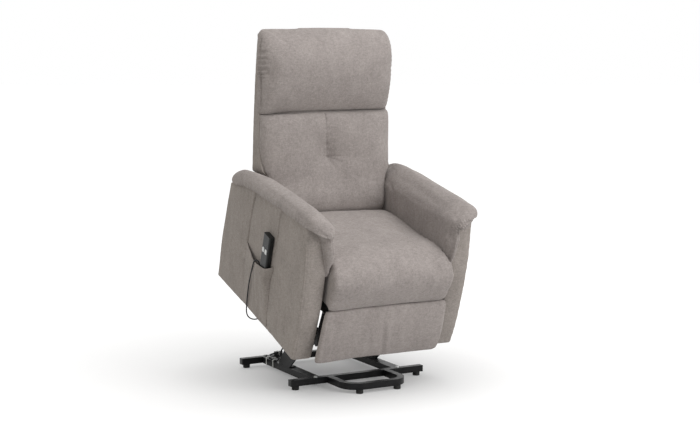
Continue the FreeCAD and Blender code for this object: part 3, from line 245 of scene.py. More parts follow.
def mouldedPlastic(name, dark, light, roughness, pebble, depth):
    # moulded surface with a fine pebble and faint flow marks
    mat, tree, shader = newMaterial(name)
    skin = stretchedNoise(tree, (pebble,) * 3, 2.0)
    flow = stretchedNoise(tree, (18.0, 18.0, 5.0), 3.0)
    color = rampOf(tree, flow, [(0.3, dark), (0.7, light)])
    rough = rampOf(tree, skin, [(0.3, (roughness * 0.85,) * 3), (0.7, (roughness * 1.15,) * 3)])
    surface(tree, shader, color, rough, bumpOf(tree, skin, depth, 0.5), {"Specular IOR Level": 0.22})
    return mat


def sawnTimber(name):
    mat, tree, shader = newMaterial(name)
    rings = stretchedNoise(tree, (6.0, 60.0, 60.0), 6.0, 0.6)
    pores = stretchedNoise(tree, (40.0, 900.0, 900.0), 2.0)
    tone = toneOf(tree, (rings, 0.75), (pores, 0.25))
    color = rampOf(tree, tone, [(0.3, (0.42, 0.27, 0.14)), (0.7, (0.68, 0.50, 0.30))])
    surface(tree, shader, color, 0.75, bumpOf(tree, pores, 0.0005, 0.5), {})
    return mat


def needledFelt(name):
    mat, tree, shader = newMaterial(name)
    hair = stretchedNoise(tree, (500.0,) * 3, 4.0, 0.8)
    matted = stretchedNoise(tree, (30.0,) * 3, 4.0, 0.6)
    tone = toneOf(tree, (hair, 0.5), (matted, 0.5))
    color = rampOf(tree, tone, [(0.3, (0.03, 0.03, 0.03)), (0.75, (0.14, 0.135, 0.13))])
    surface(tree, shader, color, 0.98, bumpOf(tree, hair, 0.002, 0.6), {})
    return mat


materials = {
    "seat_fabric": wovenFabric("taupeSeatWeave", upholstery["seatDark"], upholstery["seatLight"]),
    # the panel weave is a copy of the seat weave with painted shade in its colour
    "panel_fabric": wovenFabric("taupePanelWeaveShaded", upholstery["panelDarkWithShade"], upholstery["panelLightWithShade"]),
    "black_steel": paintedSteel("blackPowderCoat"),
    "timber": sawnTimber("frameTimber"),
    "pad_felt": needledFelt("blackFelt"),
}
for slotName, name, low, high, roughness, grain in (
        ("zinc_steel", "zincPlate", (0.42, 0.42, 0.41), (0.66, 0.67, 0.68), 0.34, (300.0, 40.0, 300.0)),
        ("chrome_steel", "polishedRod", (0.62, 0.63, 0.65), (0.82, 0.83, 0.85), 0.10, (40.0, 40.0, 900.0))):
    materials[slotName] = bareMetal(name, low, high, roughness, grain)
for slotName, name, dark, light, roughness, pebble, depth in (
        ("black_plastic", "blackMoulding", (0.011, 0.012, 0.012), (0.022, 0.023, 0.023), 0.36, 900.0, 0.0003),
        ("grey_plastic", "buttonGrey", (0.62, 0.63, 0.63), (0.74, 0.75, 0.75), 0.40, 700.0, 0.0002),
        ("tie_plastic", "naturalNylon", (0.58, 0.59, 0.57), (0.74, 0.75, 0.73), 0.32, 300.0, 0.0002),
        ("black_rubber", "footRubber", (0.010, 0.010, 0.010), (0.028, 0.028, 0.028), 0.78, 500.0, 0.0006),
        ("cord_jacket", "cordJacket", (0.012, 0.012, 0.014), (0.026, 0.026, 0.029), 0.45, 600.0, 0.0003)):
    materials[slotName] = mouldedPlastic(name, dark, light, roughness, pebble, depth)
print("materials made")


# Edge widths in millimetres of the CAD nodes that stay
softEdges = {
    "front_crossbar": 2.2, "rear_crossbar": 2.2, "side_rails": 2.2, "front_loop": 3.0, "lift_riser_left": 1.0,
    "lift_riser_right": 1.0, "actuator_anchor": 1.0, "lift_link_left": 1.0, "lift_link_right": 1.0,
    "guide_links": 1.0, "lift_crank": 1.0, "seat_cross_tubes": 2.0, "seat_side_plates": 0.8,
    "footrest_links": 0.8, "footrest_toggles": 0.8, "footrest_guide_bars": 0.8, "footrest_brackets": 0.8,
    "back_brackets": 0.8, "arm_brackets": 2.0, "power_socket": 2.5, "frame_bolts": 0.5,
}


def dressFrame():
    slots = {row["node"]: row["material_slot"] for row in frame["record"]["subparts"]}
    for name, obj in frame["nodes"].items():
        mat = materials[slots[name]]
        if not obj.material_slots:
            obj.data.materials.append(mat)
        for place in obj.material_slots:
            place.material = mat
        if name in softEdges:
            bevel = obj.modifiers.new("softEdge", "BEVEL")
            bevel.width = softEdges[name] * mm
            bevel.segments = 3
            bevel.limit_method = "ANGLE"
            bevel.angle_limit = radians(40)
            bevel.harden_normals = False


dressFrame()


# Tools that make, stuff and sew a piece
def carried(obj, body, slotName, nodes):
    # hangs a new piece on its body, gives it its material and hides the CAD nodes that it stands for
    bpy.context.scene.collection.objects.link(obj)
    obj.data.materials.append(materials[slotName])
    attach(obj, body)
    if nodes:
        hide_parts(*nodes)
    return obj


def addPiece(name, points, faces, body, slotName, nodes=()):
    mesh = bpy.data.meshes.new(name)
    mesh.from_pydata([tuple(p) for p in points], [], [tuple(f) for f in faces])
    mesh.validate()
    mesh.polygons.foreach_set("use_smooth", [True] * len(mesh.polygons))
    return carried(bpy.data.objects.new(name, mesh), body, slotName, nodes)


def skinned(name, rings, body, slotName, node):
    # closed piece over rings of seated points, in place of one CAD node
    points, faces = ringMesh(rings)
    return addPiece(name, raised(points), faces, body, slotName, [node])


def addCurve(name, points, diameter, body, slotName, nodes=()):
    data = bpy.data.curves.new(name, "CURVE")
    data.dimensions = "3D"
    data.bevel_depth = diameter / 2
    data.bevel_resolution = 5
    data.resolution_u = 10
    data.use_fill_caps = True
    spline = data.splines.new("NURBS")
    spline.points.add(len(points) - 1)
    for place, point in zip(spline.points, points):
        place.co = (*point, 1.0)
    spline.order_u = 3
    spline.use_endpoint_u = True
    return carried(bpy.data.objects.new(name, data), body, slotName, nodes)


def smoothLine(points, count, closed=False):
    # even steps along a smooth line through the points
    pts = np.asarray(points, dtype=float)
    if closed:
        pts = np.vstack([pts[-1], pts, pts[0], pts[1]])
    else:
        pts = np.vstack([2 * pts[0] - pts[1], pts, 2 * pts[-1] - pts[-2]])
    parts = []
    t = np.linspace(0, 1, 16, endpoint=False)[:, None]
    for i in range(1, len(pts) - 2):
        a, b, c, d = pts[i - 1:i + 3]
        parts.append(0.5 * (2 * b + (c - a) * t + (2 * a - 5 * b + 4 * c - d) * t ** 2
                            + (3 * b - a - 3 * c + d) * t ** 3))
    line = np.vstack(parts + [pts[-2][None]])
    steps = np.concatenate([[0], np.cumsum(np.linalg.norm(np.diff(line, axis=0), axis=1))])
    wanted = np.linspace(0, steps[-1], count, endpoint=not closed)
    return np.stack([np.interp(wanted, steps, line[:, k]) for k in range(pts.shape[1])], axis=1)


def profile(pairs):
    # smooth value against height or distance, from a few measured pairs
    line = smoothLine(sorted(pairs), 240)
    return lambda v: np.interp(v, line[:, 0], line[:, 1])


def ease(low, high, v):
    t = np.clip((np.asarray(v, dtype=float) - low) / (high - low), 0, 1)
    return t * t * (3 - 2 * t)


def roundOff(t):
    # how far a quarter circle has dropped at a share of its radius
    return 1 - sqrt(max(0.0, 1 - max(0.0, t) ** 2))


def strongest(*parts):
    return np.clip(np.maximum.reduce(parts), 0, 1)


def ringMesh(rings, caps=3):
    # closed skin over rings of points, with drawn-in rings at both ends
    rings = [np.asarray(r, dtype=float) for r in rings]
    first, last = rings[0], rings[-1]
    for k in range(1, caps):
        share = 1 - k / caps
        rings.insert(0, first.mean(0) + (first - first.mean(0)) * share)
        rings.append(last.mean(0) + (last - last.mean(0)) * share)
    n = len(first)
    points = list(np.vstack(rings)) + [first.mean(0), last.mean(0)]
    faces = []
    for r in range(len(rings) - 1):
        for c in range(n):
            d = (c + 1) % n
            faces.append((r * n + c, r * n + d, (r + 1) * n + d, (r + 1) * n + c))
    top = (len(rings) - 1) * n
    for c in range(n):
        d = (c + 1) % n
        faces.append((d, c, len(points) - 2))
        faces.append((top + c, top + d, len(points) - 1))
    return points, faces


def readPoints(mesh):
    co = np.empty(len(mesh.vertices) * 3)
    mesh.vertices.foreach_get("co", co)
    return co.reshape(-1, 3)


def writePoints(mesh, co):
    mesh.vertices.foreach_set("co", np.ascontiguousarray(co).ravel())
    mesh.update()


def readNormals(mesh):
    normals = np.empty(len(mesh.vertices) * 3)
    mesh.vertices.foreach_get("normal", normals)
    return normals.reshape(-1, 3)


def evaluated(obj):
    graph = bpy.context.evaluated_depsgraph_get()
    return bpy.data.meshes.new_from_object(obj.evaluated_get(graph))


def settle(obj):
    # keeps what the modifiers make, without the modifiers
    mats = list(obj.data.materials)
    mesh = evaluated(obj)
    obj.modifiers.clear()
    obj.data = mesh
    mesh.materials.clear()
    for mat in mats:
        mesh.materials.append(mat)
    mesh.polygons.foreach_set("use_smooth", [True] * len(mesh.polygons))


def reskin(obj, voxel, smoothing):
    remesh = obj.modifiers.new("reskin", "REMESH")
    remesh.mode = "VOXEL"
    remesh.voxel_size = voxel * mm
    soften = obj.modifiers.new("soften", "SMOOTH")
    soften.factor = 0.5
    soften.iterations = smoothing
    settle(obj)


clothFeel = {
    "quality": 6, "mass": 0.25, "tension_stiffness": 12, "compression_stiffness": 6, "shear_stiffness": 5,
    "bending_stiffness": 0.35, "pin_stiffness": 1.0, "use_pressure": True,
}


def stuff(obj, pinned, pressure, cap, frames=20):
    # cloth blown up from inside by at most cap; pinned takes seated points and gives 0 to 1
    start = readPoints(obj.data)
    group = obj.vertex_groups.new(name="held")
    weights = pinned(seated(start))
    for i in np.nonzero(weights > 0.02)[0]:
        group.add([int(i)], float(weights[i]), "REPLACE")
    cloth = obj.modifiers.new("cloth", "CLOTH")
    feel = cloth.settings
    for key, value in clothFeel.items():
        setattr(feel, key, value)
    feel.vertex_group_mass = "held"
    feel.uniform_pressure_force = pressure
    feel.effector_weights.gravity = 0
    cloth.collision_settings.use_collision = False
    cloth.collision_settings.use_self_collision = False
    scene = bpy.context.scene
    for step in range(1, frames + 1):
        scene.frame_set(step)
    mesh = evaluated(obj)
    moved = readPoints(mesh) - start
    bpy.data.meshes.remove(mesh)
    obj.modifiers.clear()
    obj.vertex_groups.clear()
    scene.frame_set(1)
    reach = np.linalg.norm(moved, axis=1)
    shrink = np.minimum(1, cap * mm / np.maximum(reach, 1e-9))
    writePoints(obj.data, start + moved * shrink[:, None])
    print("stuffed", obj.name, "moved at most", round(float(reach.max()) / mm, 1), "mm")


def nearestOn(points, line):
    # distance to a line of points, and how far along it the nearest place is
    line = np.asarray(line, dtype=float)
    best = np.full(len(points), 1e9)
    along = np.zeros(len(points))
    done = 0.0
    for a, b in zip(line[:-1], line[1:]):
        run = b - a
        length = np.linalg.norm(run)
        t = np.clip((points - a) @ run / length ** 2, 0, 1)
        gap = np.linalg.norm(points - (a + t[:, None] * run), axis=1)
        closer = gap < best
        best[closer] = gap[closer]
        along[closer] = (done + t * length)[closer]
        done += length
    return best, along


def sew(obj, path, depth=3.0, width=4.5, gather=0.0, spacing=22.0, reach=30.0, count=60):
    # draws the skin in along a seam, with small gathers across it
    line = raised(smoothLine(path, count)) / mm
    co = readPoints(obj.data) / mm
    normals = readNormals(obj.data)
    gap, along = nearestOn(co, line)
    push = -depth * np.exp(-(gap / width) ** 2)
    if gather:
        wave = np.sin(2 * pi * along / spacing + 1.9 * np.sin(along / 37.0) + 0.8 * np.sin(along / 11.0))
        push += gather * wave * np.exp(-(gap / reach) ** 2) * (1 - np.exp(-(gap / (width * 1.6)) ** 2))
    writePoints(obj.data, (co + normals * push[:, None]) * mm)


def ruffle(obj, amount, size, seed=0.0, where=None):
    # slow unevenness of foam under cloth
    co = readPoints(obj.data)
    normals = readNormals(obj.data)
    shift = Vector((seed, seed * 0.7, seed * 1.3))
    lumps = np.array([noise.noise(Vector(p) / (size * mm) + shift) for p in co])
    if where is not None:
        lumps = lumps * where(seated(co))
    writePoints(obj.data, co + normals * (lumps * amount * mm)[:, None])


def finer(obj):
    sub = obj.modifiers.new("finer", "SUBSURF")
    sub.levels = 1
    sub.render_levels = 1
    return obj


def refined(obj, calm=0):
    # takes the small wrinkles out of stuffed cloth and gives it a grid fine enough for seams
    if calm:
        soften = obj.modifiers.new("calm", "SMOOTH")
        soften.factor = 0.5
        soften.iterations = calm
    settle(finer(obj))


def mirroredCopy(obj, name, body, slotName, nodes):
    co = readPoints(obj.data) * np.array([-1.0, 1.0, 1.0])
    faces = [tuple(reversed(p.vertices)) for p in obj.data.polygons]
    return addPiece(name, co, faces, body, slotName, nodes)


# Cords, with their routes: the handset's as (x, back, height) of the seated body, the lead's in the room
handsetCord = {
    "diameter": 0.005, "length": 0.515, "sleeve": (0.0029, 0.0046),
    "route": [(-364.3, 297, 214.8), (-364.1, 298.5, 198), (-363.4, 305, 184.5), (-362.6, 317, 177),
        (-362, 330, 180), (-361.8, 338.5, 193), (-362, 342, 210), (-362.6, 344, 226), (-363.2, 345.5, 239),
        (-365.4, 349, 249.5), (-370.5, 357, 254), (-375.9, 365, 249.5), (-378.2, 369, 239),
        (-377.8, 372.5, 225), (-376.6, 378, 207), (-373.6, 388, 181), (-369.4, 400, 154), (-364.6, 412, 126),
        (-360.4, 421, 95), (-356.8, 427, 62), (-354, 430, 30), (-351.6, 431, 4), (-347, 431, -16),
        (-337, 429, -30), (-324, 421, -35), (-311, 409, -30), (-302.5, 398, -16), (-300, 394, 0)],
}
powerLead = {
    "diameter": 0.006, "length": 0.299, "sleeve": (0.0034, 0.0054),
    "route": [(-142, 339.5, 46.5), (-152, 339.5, 45), (-163, 335.5, 43.5), (-173, 326, 43.2),
        (-180, 312, 43.2), (-185, 295, 43.2), (-188.5, 277, 43.2), (-191, 258, 43.2), (-192, 240, 43.2),
        (-192.5, 222, 43.2), (-193, 206, 46), (-193.5, 192, 56), (-194, 182, 71), (-194.3, 172, 88),
        (-193.6, 160, 103), (-191.5, 145, 111), (-188.5, 129, 112), (-185.6, 114, 106), (-184, 98, 98)],
}


def strainRelief(name, start, end, sleeve, body):
    # ribbed sleeve that tapers from a housing down to its lead
    lead, grip = sleeve
    a, b = Vector(start), Vector(end)
    run = b - a
    side = run.orthogonal().normalized()
    up = run.normalized().cross(side)
    around = [side * cos(k * pi / 8) + up * sin(k * pi / 8) for k in range(16)]
    rings = []
    for i in range(25):
        t = i / 24
        rib = 0.0004 if i % 4 < 2 and i < 22 else 0.0
        radius = grip + (lead - grip) * t + rib
        rings.append([tuple(a + run * t + out * radius) for out in around])
    points, faces = ringMesh(rings)
    return addPiece(name, points, faces, body, "black_plastic")


def makeCords():
    route = [tuple(float(v) for v in p) for p in raised(handsetCord["route"])]
    lead = addCurve("handsetLead", route, handsetCord["diameter"], "chair", "cord_jacket", ["handset_cord"])
    sleeve = strainRelief("handsetSleeve", route[0], route[1], handsetCord["sleeve"], "chair")
    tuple(route[0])
    route = [tuple(v * mm for v in p) for p in powerLead["route"]]
    supply = addCurve("powerLeadOnBase", route, powerLead["diameter"], "base", "cord_jacket", ["power_lead"])
    sleeve = strainRelief("socketSleeve", route[-1], route[-2], powerLead["sleeve"], "base")
    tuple(route[-1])


makeCords()
print("cords laid")


# Seat cushion, drawn as a side outline of (distance back, height)
seat = {
    "halfWidth": 256.0, "edge": 25.0, "crown": 7.0, "base": 213.0, "edgeDrop": 0.7,
    "stations": 64, "around": 120, "voxel": 6.0,
    "outline": [(30, 213), (250, 213), (478, 213), (490, 222), (492, 290), (493, 350), (491, 372),
        (478, 382), (440, 390), (400, 393), (303, 394), (232, 395), (172, 399), (110, 406), (60, 407),
        (20, 402), (-14, 391), (-40, 375), (-60, 352), (-70, 327), (-68, 303), (-60, 280), (-51, 252),
        (-45, 230), (-39, 219), (-25, 213)],
    "heart": ((20.0, 290.0), (450.0, 290.0)),
    "sideSeam": [(485, 350), (400, 366), (300, 370), (150, 376), (60, 382), (0, 376)],
    "noseSeam": [(-30, 356), (-46, 330), (-47, 300), (-40, 262), (-32, 235)],
    "dragLines": ((-170, 0.9), (-95, 0.6), (60, 0.7), (148, 0.9), (205, 0.8)),
}


def drawnIn(points, heart, amount):
    # moves outline points towards a line through the middle of the padding
    a, b = np.array(heart[0]), np.array(heart[1])
    run = b - a
    t = np.clip((points - a) @ run / (run @ run), 0, 1)
    inward = a + t[:, None] * run - points
    inward /= np.maximum(np.linalg.norm(inward, axis=1), 1e-6)[:, None]
    return points + inward * amount


def crosswise(shape):
    # rings across x for a cushion drawn as a side outline, rounded in at both sides
    rings = []
    w, r, base = shape["halfWidth"], shape["edge"], shape["base"]
    outline = smoothLine(shape["outline"], shape["around"], closed=True)
    for share in np.sin(np.linspace(-pi / 2, pi / 2, shape["stations"])):
        x = w * share
        inset = r * shape["edgeDrop"] * roundOff((abs(x) - (w - r)) / r)
        ring = drawnIn(outline, shape["heart"], inset)
        rise = shape["crown"] * (cos(share * pi / 2) - 0.35)
        lifted = ring[:, 1] > base + 60
        ring[lifted, 1] += rise * ease(base + 60, base + 150, ring[lifted, 1])
        rings.append(np.column_stack([np.full(len(ring), x), ring]))
    return rings


def makeSeat():
    points, faces = ringMesh(crosswise(seat))
    pts = np.array([tuple(point) for point in points])
    x, p, q = pts.T
    # only the nose is wider than the gap between the arm pads
    behind = ease(-34, -14, p)
    low = ease(330, 372, q)
    limit = seat["halfWidth"] + behind * (249.5 - 2.0 * (1 - low) - seat["halfWidth"])
    x *= limit / seat["halfWidth"]
    # the nose sags a little at the sitter's right
    q -= 6.0 * ease(90, 256, -x) * (1 - ease(228, 300, q)) * (1 - ease(-30, 10, p))
    piece = addPiece("seatCushion", raised(pts), faces, "chair", "seat_fabric", ["seat_cushion"])
    reskin(piece, seat["voxel"], 6)

    def held(pts):
        x, p, q = pts.T
        return strongest(1 - ease(216, 232, q), ease(478, 489, p), ease(236, 243, np.abs(x)))

    stuff(piece, held, pressure=3.0, cap=9.0)
    refined(piece)
    ruffle(piece, 2.0, 130, 3.0)
    ruffle(piece, 0.8, 42, 8.0)
    for side in (-1, 1):
        seam = [(side * 243, p, q) for p, q in seat["sideSeam"]]
        seam += [(side * 249, p, q) for p, q in seat["noseSeam"]]
        sew(piece, seam, 1.8, 4.0, 0.9, 31.0, 28.0, 90)
    # faint drag lines from the sides over the nose
    for x, depth in seat["dragLines"]:
        line = [(x, 20, 402), (x * 1.03, -30, 384), (x * 1.05, -62, 345), (x * 1.05, -66, 310)]
        sew(piece, line, depth, 9.0)


makeSeat()
print("seat made")


# Footrest pad
footPad = {
    "halfWidth": 260.0, "edge": 15.0, "crown": 2.0, "base": 500.0, "edgeDrop": 0.75,
    "stations": 70, "around": 80, "voxel": 5.0,
    "outline": [(-17, 7), (-17, 106), (-17, 206), (-21, 213), (-30, 213), (-38, 207), (-43, 190), (-46, 150),
        (-47, 106), (-46, 60), (-43, 26), (-38, 9), (-30, 3), (-21, 3)],
    "heart": ((-27.0, 20.0), (-27.0, 192.0)),
}


def makeFootPad():
    piece = skinned("footrestPad", crosswise(footPad), "footrest", "seat_fabric", "footrest_pad")
    reskin(piece, footPad["voxel"], 4)

    def held(pts):
        x, p, q = pts.T
        rim = strongest(ease(250, 256, np.abs(x)), 1 - ease(6, 13, q), ease(202, 209, q))
        return strongest(ease(-24, -18.5, p), rim)

    stuff(piece, held, pressure=2.2, cap=6.0, frames=16)
    refined(piece)
    # upright folds, strongest left of the middle
    co = readPoints(piece.data)
    x, p, q = seated(co).T
    lean = x + 0.12 * (q - 100)
    folds = 2.2 * np.sin(lean / 9.5 + 1.1 * np.sin(lean / 43.0))
    folds += 1.1 * np.sin(lean / 5.4 + 0.9 * np.sin(lean / 31.0))
    folds *= (1 - ease(-38, -28, p)) * ease(-10, 40, q) * (1 - ease(110, 180, q))
    folds *= 0.9 * np.exp(-((x + 10) / 90.0) ** 2) + 0.25 * np.exp(-((x - 150) / 60.0) ** 2)
    writePoints(piece.data, co + readNormals(piece.data) * (folds * mm)[:, None])
    # the lower corners are rounder on the sitter's left, flared and hanging on the right
    pts = seated(readPoints(piece.data))
    x, p, q = pts.T
    q += 6.0 * ease(232, 262, x) * (1 - ease(0, 50, q))
    x -= 9.0 * ease(200, 262, x) * (1 - ease(0, 90, q))
    x -= 16.0 * ease(200, 258, -x) * (1 - np.clip(q / 200.0, 0, 1)) ** 0.7
    q -= ease(90, 256, -x) * (5.0 * ease(120, 200, q) + 7.0 * (1 - ease(10, 60, q)))
    writePoints(piece.data, raised(pts))
    ruffle(piece, 1.2, 90, 5.0)
    for side in (-1, 1):
        sew(piece, [(side * 254, -45, q) for q in (200, 150, 100, 50, 16)], 1.6, 3.6, 0.4, 34.0, 14.0, 60)


makeFootPad()
print("footrest made")


# Backrest: each profile gives a distance back or a half width by height
back = {
    "front": profile([(368, 499), (378, 495), (390, 490), (404, 489), (420, 494), (447, 509), (504, 538),
        (526, 545), (588, 565), (626, 577), (675, 591), (710, 602), (735, 617), (747, 634)]),
    "lumbarBack": profile([(254, 530), (368, 531), (447, 534), (504, 558), (567, 601), (623, 627),
        (716, 655), (747, 672)]),
    "headFront": profile([(746, 652), (757, 641), (778, 635), (800, 631), (850, 626), (911, 633), (961, 644),
        (994, 662), (1021, 688), (1040, 716), (1050, 738)]),
    "headBack": profile([(746, 684), (842, 703), (935, 730), (1020, 755), (1034, 760), (1050, 764)]),
    "lumbarHalf": profile([(254, 244), (368, 252), (447, 253), (480, 256), (515, 270), (538, 280),
        (600, 287), (747, 287)]),
    "valley": profile([(254, 0), (387, 1), (447, 5), (500, 9), (530, 14), (550, 24), (564, 36), (574, 42),
        (588, 38), (612, 27), (650, 17), (700, 12), (747, 11)]),
    "rear": profile([(238, 609), (511, 672), (618, 697), (654, 705), (724, 720), (810, 736), (888, 750),
        (938, 758), (984, 764), (1034, 766), (1050, 766)]),
    "seam": profile([(254, -8), (425, -3), (460, 1), (502, 4), (545, 5), (575, 2), (604, -3), (645, -9),
        (684, -12), (722, -13), (750, -10)]),
    "shellSides": profile([(238, 255), (470, 256), (492, 258), (500, 287), (512, 287), (1000, 287),
        (1034, 285), (1050, 280)]),
    "shellFront": profile([(238, 526), (447, 530), (504, 556), (567, 600), (623, 626), (716, 654),
        (737, 668), (842, 700), (935, 727), (1020, 752), (1034, 758), (1050, 762)]),
    "headHalf": profile([(746, 280), (757, 286), (800, 290), (850, 291), (960, 292), (1010, 292),
        (1034, 288), (1050, 274)]),
    "tuft": (2.0, 574.0), "buried": 8.0, "headBuried": 6.0,
    "creases": ((58, 11), (52, -13), (-40, 9), (-46, -17), (24, -34), (-22, 30)),
}


def cushionGrid(levels, columns, half, front, rear, roll, shapeFront):
    # rings in level planes: front lobe, rounded sides, flat back
    rings = []
    for q in levels:
        w = half(q)
        pf, pb = front(q), rear(q)
        depth = pb - pf
        r = min(roll, depth * 0.8, w * 0.4)
        ring = []
        for share in np.linspace(-1, 1, columns):
            x = w * sin(share * pi / 2)
            p = pf + depth * 0.72 * roundOff((abs(x) - (w - r)) / r) + shapeFront(x, q, w)
            ring.append((x, min(p, pb - 2), q))
        ring += [(w, pb - depth * 0.12, q), (w - 3, pb, q)]
        ring += [(w * s, pb, q) for s in np.linspace(0.9, -0.9, 21)]
        ring += [(-w + 3, pb, q), (-w, pb - depth * 0.12, q)]
        rings.append(ring)
    return rings


def lumbarFront(x, q, w):
    dip = back["valley"](q)
    lobes = -5.0 * cos(pi * min(1, abs(x) / w) - pi / 2) ** 2 * ease(420, 560, q)
    off = abs(x - back["seam"](q))
    wide = dip * (0.42 * exp(-(off / 55.0) ** 2) + 0.58 * exp(-off / 15.0))
    return lobes + wide


def makeLumbar():
    def rear(q):
        # the back of the padding runs a little into the shell
        return back["lumbarBack"](q) + back["buried"] * ease(500, 560, q)

    levels = np.r_[254, 257, 264, 275:733:78j, 738, 742, 745, 746.4]
    rings = cushionGrid(levels, 90, back["lumbarHalf"], back["front"], rear, 52.0, lumbarFront)
    # its upper corner gives way under the drooping corner of the head cushion
    for ring in rings:
        for i, (x, p, q) in enumerate(ring):
            ring[i] = (x, p, q - 15.0 * exp(-((x + 276) / 30.0) ** 2) * ease(680, 746, q))
    piece = skinned("lumbarCushion", rings, "backrest", "seat_fabric", "lumbar_cushion")
    reskin(piece, 6.0, 5)

    tuftX, tuftQ = back["tuft"]

    def held(pts):
        x, p, q = pts.T
        off = x - back["seam"](q)
        onShell = ease(-14, -5, p - back["lumbarBack"](q))
        seam = np.exp(-(off / 8.0) ** 2) * ease(540, 566, q)
        tuft = np.exp(-((off / 16.0) ** 2 + ((q - tuftQ) / 14.0) ** 2))
        return strongest(onShell, seam, 1 - ease(372, 400, q), tuft, ease(738, 744, q))

    stuff(piece, held, pressure=4.0, cap=9.0)
    refined(piece, 4)
    ruffle(piece, 1.8, 95, 11.0, lambda pts: ease(380, 420, pts[:, 2]))

    def onFront(x, q):
        return (x, back["front"](q) + lumbarFront(x, q, 283), q)

    # the middle seam, deeper above the tuft
    for heights, *drawn in (((742, 720, 690, 660, 640, 620, 604, 590, 574), 5.2, 3.6, 1.0, 26.0, 24.0),
                            ((574, 555, 530, 490, 450), 3.0, 4.0, 0.5, 24.0, 26.0)):
        sew(piece, [onFront(back["seam"](q), q) for q in heights], *drawn)
    # creases that run out from the tuft
    for dx, dq in back["creases"]:
        sew(piece, [onFront(tuftX + dx * s, tuftQ + dq * s) for s in (0.06, 0.35, 0.7, 1.0)], 1.7, 4.6)


def makeHead():
    def arch(x, q, w):
        return -3.0 * cos(x / w * pi / 2) * ease(760, 820, q)

    def rear(q):
        return back["headBack"](q) + back["headBuried"]

    levels = np.r_[747.5, 749, 752, 757, 764, 775:1020:44j, 1028, 1035, 1041, 1046, 1049]
    rings = cushionGrid(levels, 84, back["headHalf"], back["headFront"], rear, 58.0, arch)
    for ring in rings:
        for i, (x, p, q) in enumerate(ring):
            lift = ease(985, 1045, q) * 12.0 * (1 - (x / 289.0) ** 2)
            drop = (1 - ease(748, 810, q)) * 16.0 * exp(-((x + 276) / 28.0) ** 2)
            bulge = 6.0 * exp(-((q - 768) / 36.0) ** 2) * ease(255, 285, -x)
            ring[i] = (x - bulge, p, q + lift - drop)
    piece = skinned("headCushion", rings, "backrest", "seat_fabric", "head_cushion")
    reskin(piece, 6.0, 10)

    def held(pts):
        x, p, q = pts.T
        return strongest(ease(-12, -4, p - back["headBack"](q)), 1 - ease(750, 757, q))

    stuff(piece, held, pressure=4.0, cap=10.0)
    refined(piece, 8)
    ruffle(piece, 1.8, 110, 17.0)
    for side, drawn, pucker in ((-1, 8.0, 5.6), (1, 3.4, 0.8)):
        edge = [(side * 289, back["headBack"](q) - 33, q) for q in (765, 820, 880, 940, 990, 1022)]
        sew(piece, edge, drawn, 4.2, 0.6, 17.0, 26.0, 100)
        # the cover is gathered along the middle of this seam
        sew(piece, edge[2:5], 0.0, 4.2, pucker, 21.0, 24.0, 100)


def makeShell():
    rings = []
    for q in np.r_[239, 241, 246, 256:1016:96j, 1024, 1030, 1033.5, 1035]:
        w, pf, pb = back["shellSides"](q), back["shellFront"](q), back["rear"](q)
        end = 7.0 * roundOff((q - 1024) / 12) + 5.0 * roundOff((246 - q) / 7)
        w, pb, pf = w - end, pb - end, min(pf + end * 0.5, pb - end - 4)
        r = min(13.0, (pb - pf) * 0.45)
        corner = [(w - r + r * sin(a), pb - r + r * cos(a)) for a in np.linspace(pi / 2, 0, 6)]
        bulge = 5.0 * ease(238, 330, q) * (1 - ease(960, 1034, q))
        across = [(w - r) * s for s in np.linspace(1, -1, 38)][1:-1]
        flat = [(x, pb + bulge * (1 - (x / (w - r)) ** 2)) for x in across]
        edge = [(w, pf + (pb - pf - r) * s) for s in np.linspace(0, 0.96, 9)] + corner
        ring = edge + flat + [(-x, p) for x, p in reversed(edge)]
        ring += [((w - 4) * s, pf + 2) for s in np.linspace(-1, 1, 28)]
        # the wings end over the arm pads, lower towards the middle and the rear, as the pads fall away there
        spare = [(q - 530 + (p - 560) / 3.4) / 22 + 1 for x, p in ring]
        limits = [257 + 30 * min(1.0, max(0.0, s)) if q < 536 else 999 for s in spare]
        rings.append([(copysign(min(abs(x), limit), x), p, q) for (x, p), limit in zip(ring, limits)])
    piece = skinned("backShellCover", rings, "backrest", "panel_fabric", "back_shell")
    ruffle(piece, 1.6, 130, 23.0)
    for side in (-1, 1):
        rearEdge = [(side * (back["shellSides"](q) - 2), back["rear"](q) - 4, q)
                    for q in (262, 340, 420, 470, 520, 560, 640, 720, 800, 880, 960, 1016)]
        sew(piece, rearEdge, 2.6, 4.0, 0.5, 34.0, 18.0, 120)
    across = [(x, back["rear"](292) + 4.5, 292) for x in (-238, -120, 0, 120, 238)]
    sew(piece, across, 2.6, 4.0, 0.5, 30.0, 20.0, 80)
    return finer(piece)


makeLumbar()
makeHead()
makeShell()
print("backrest made")


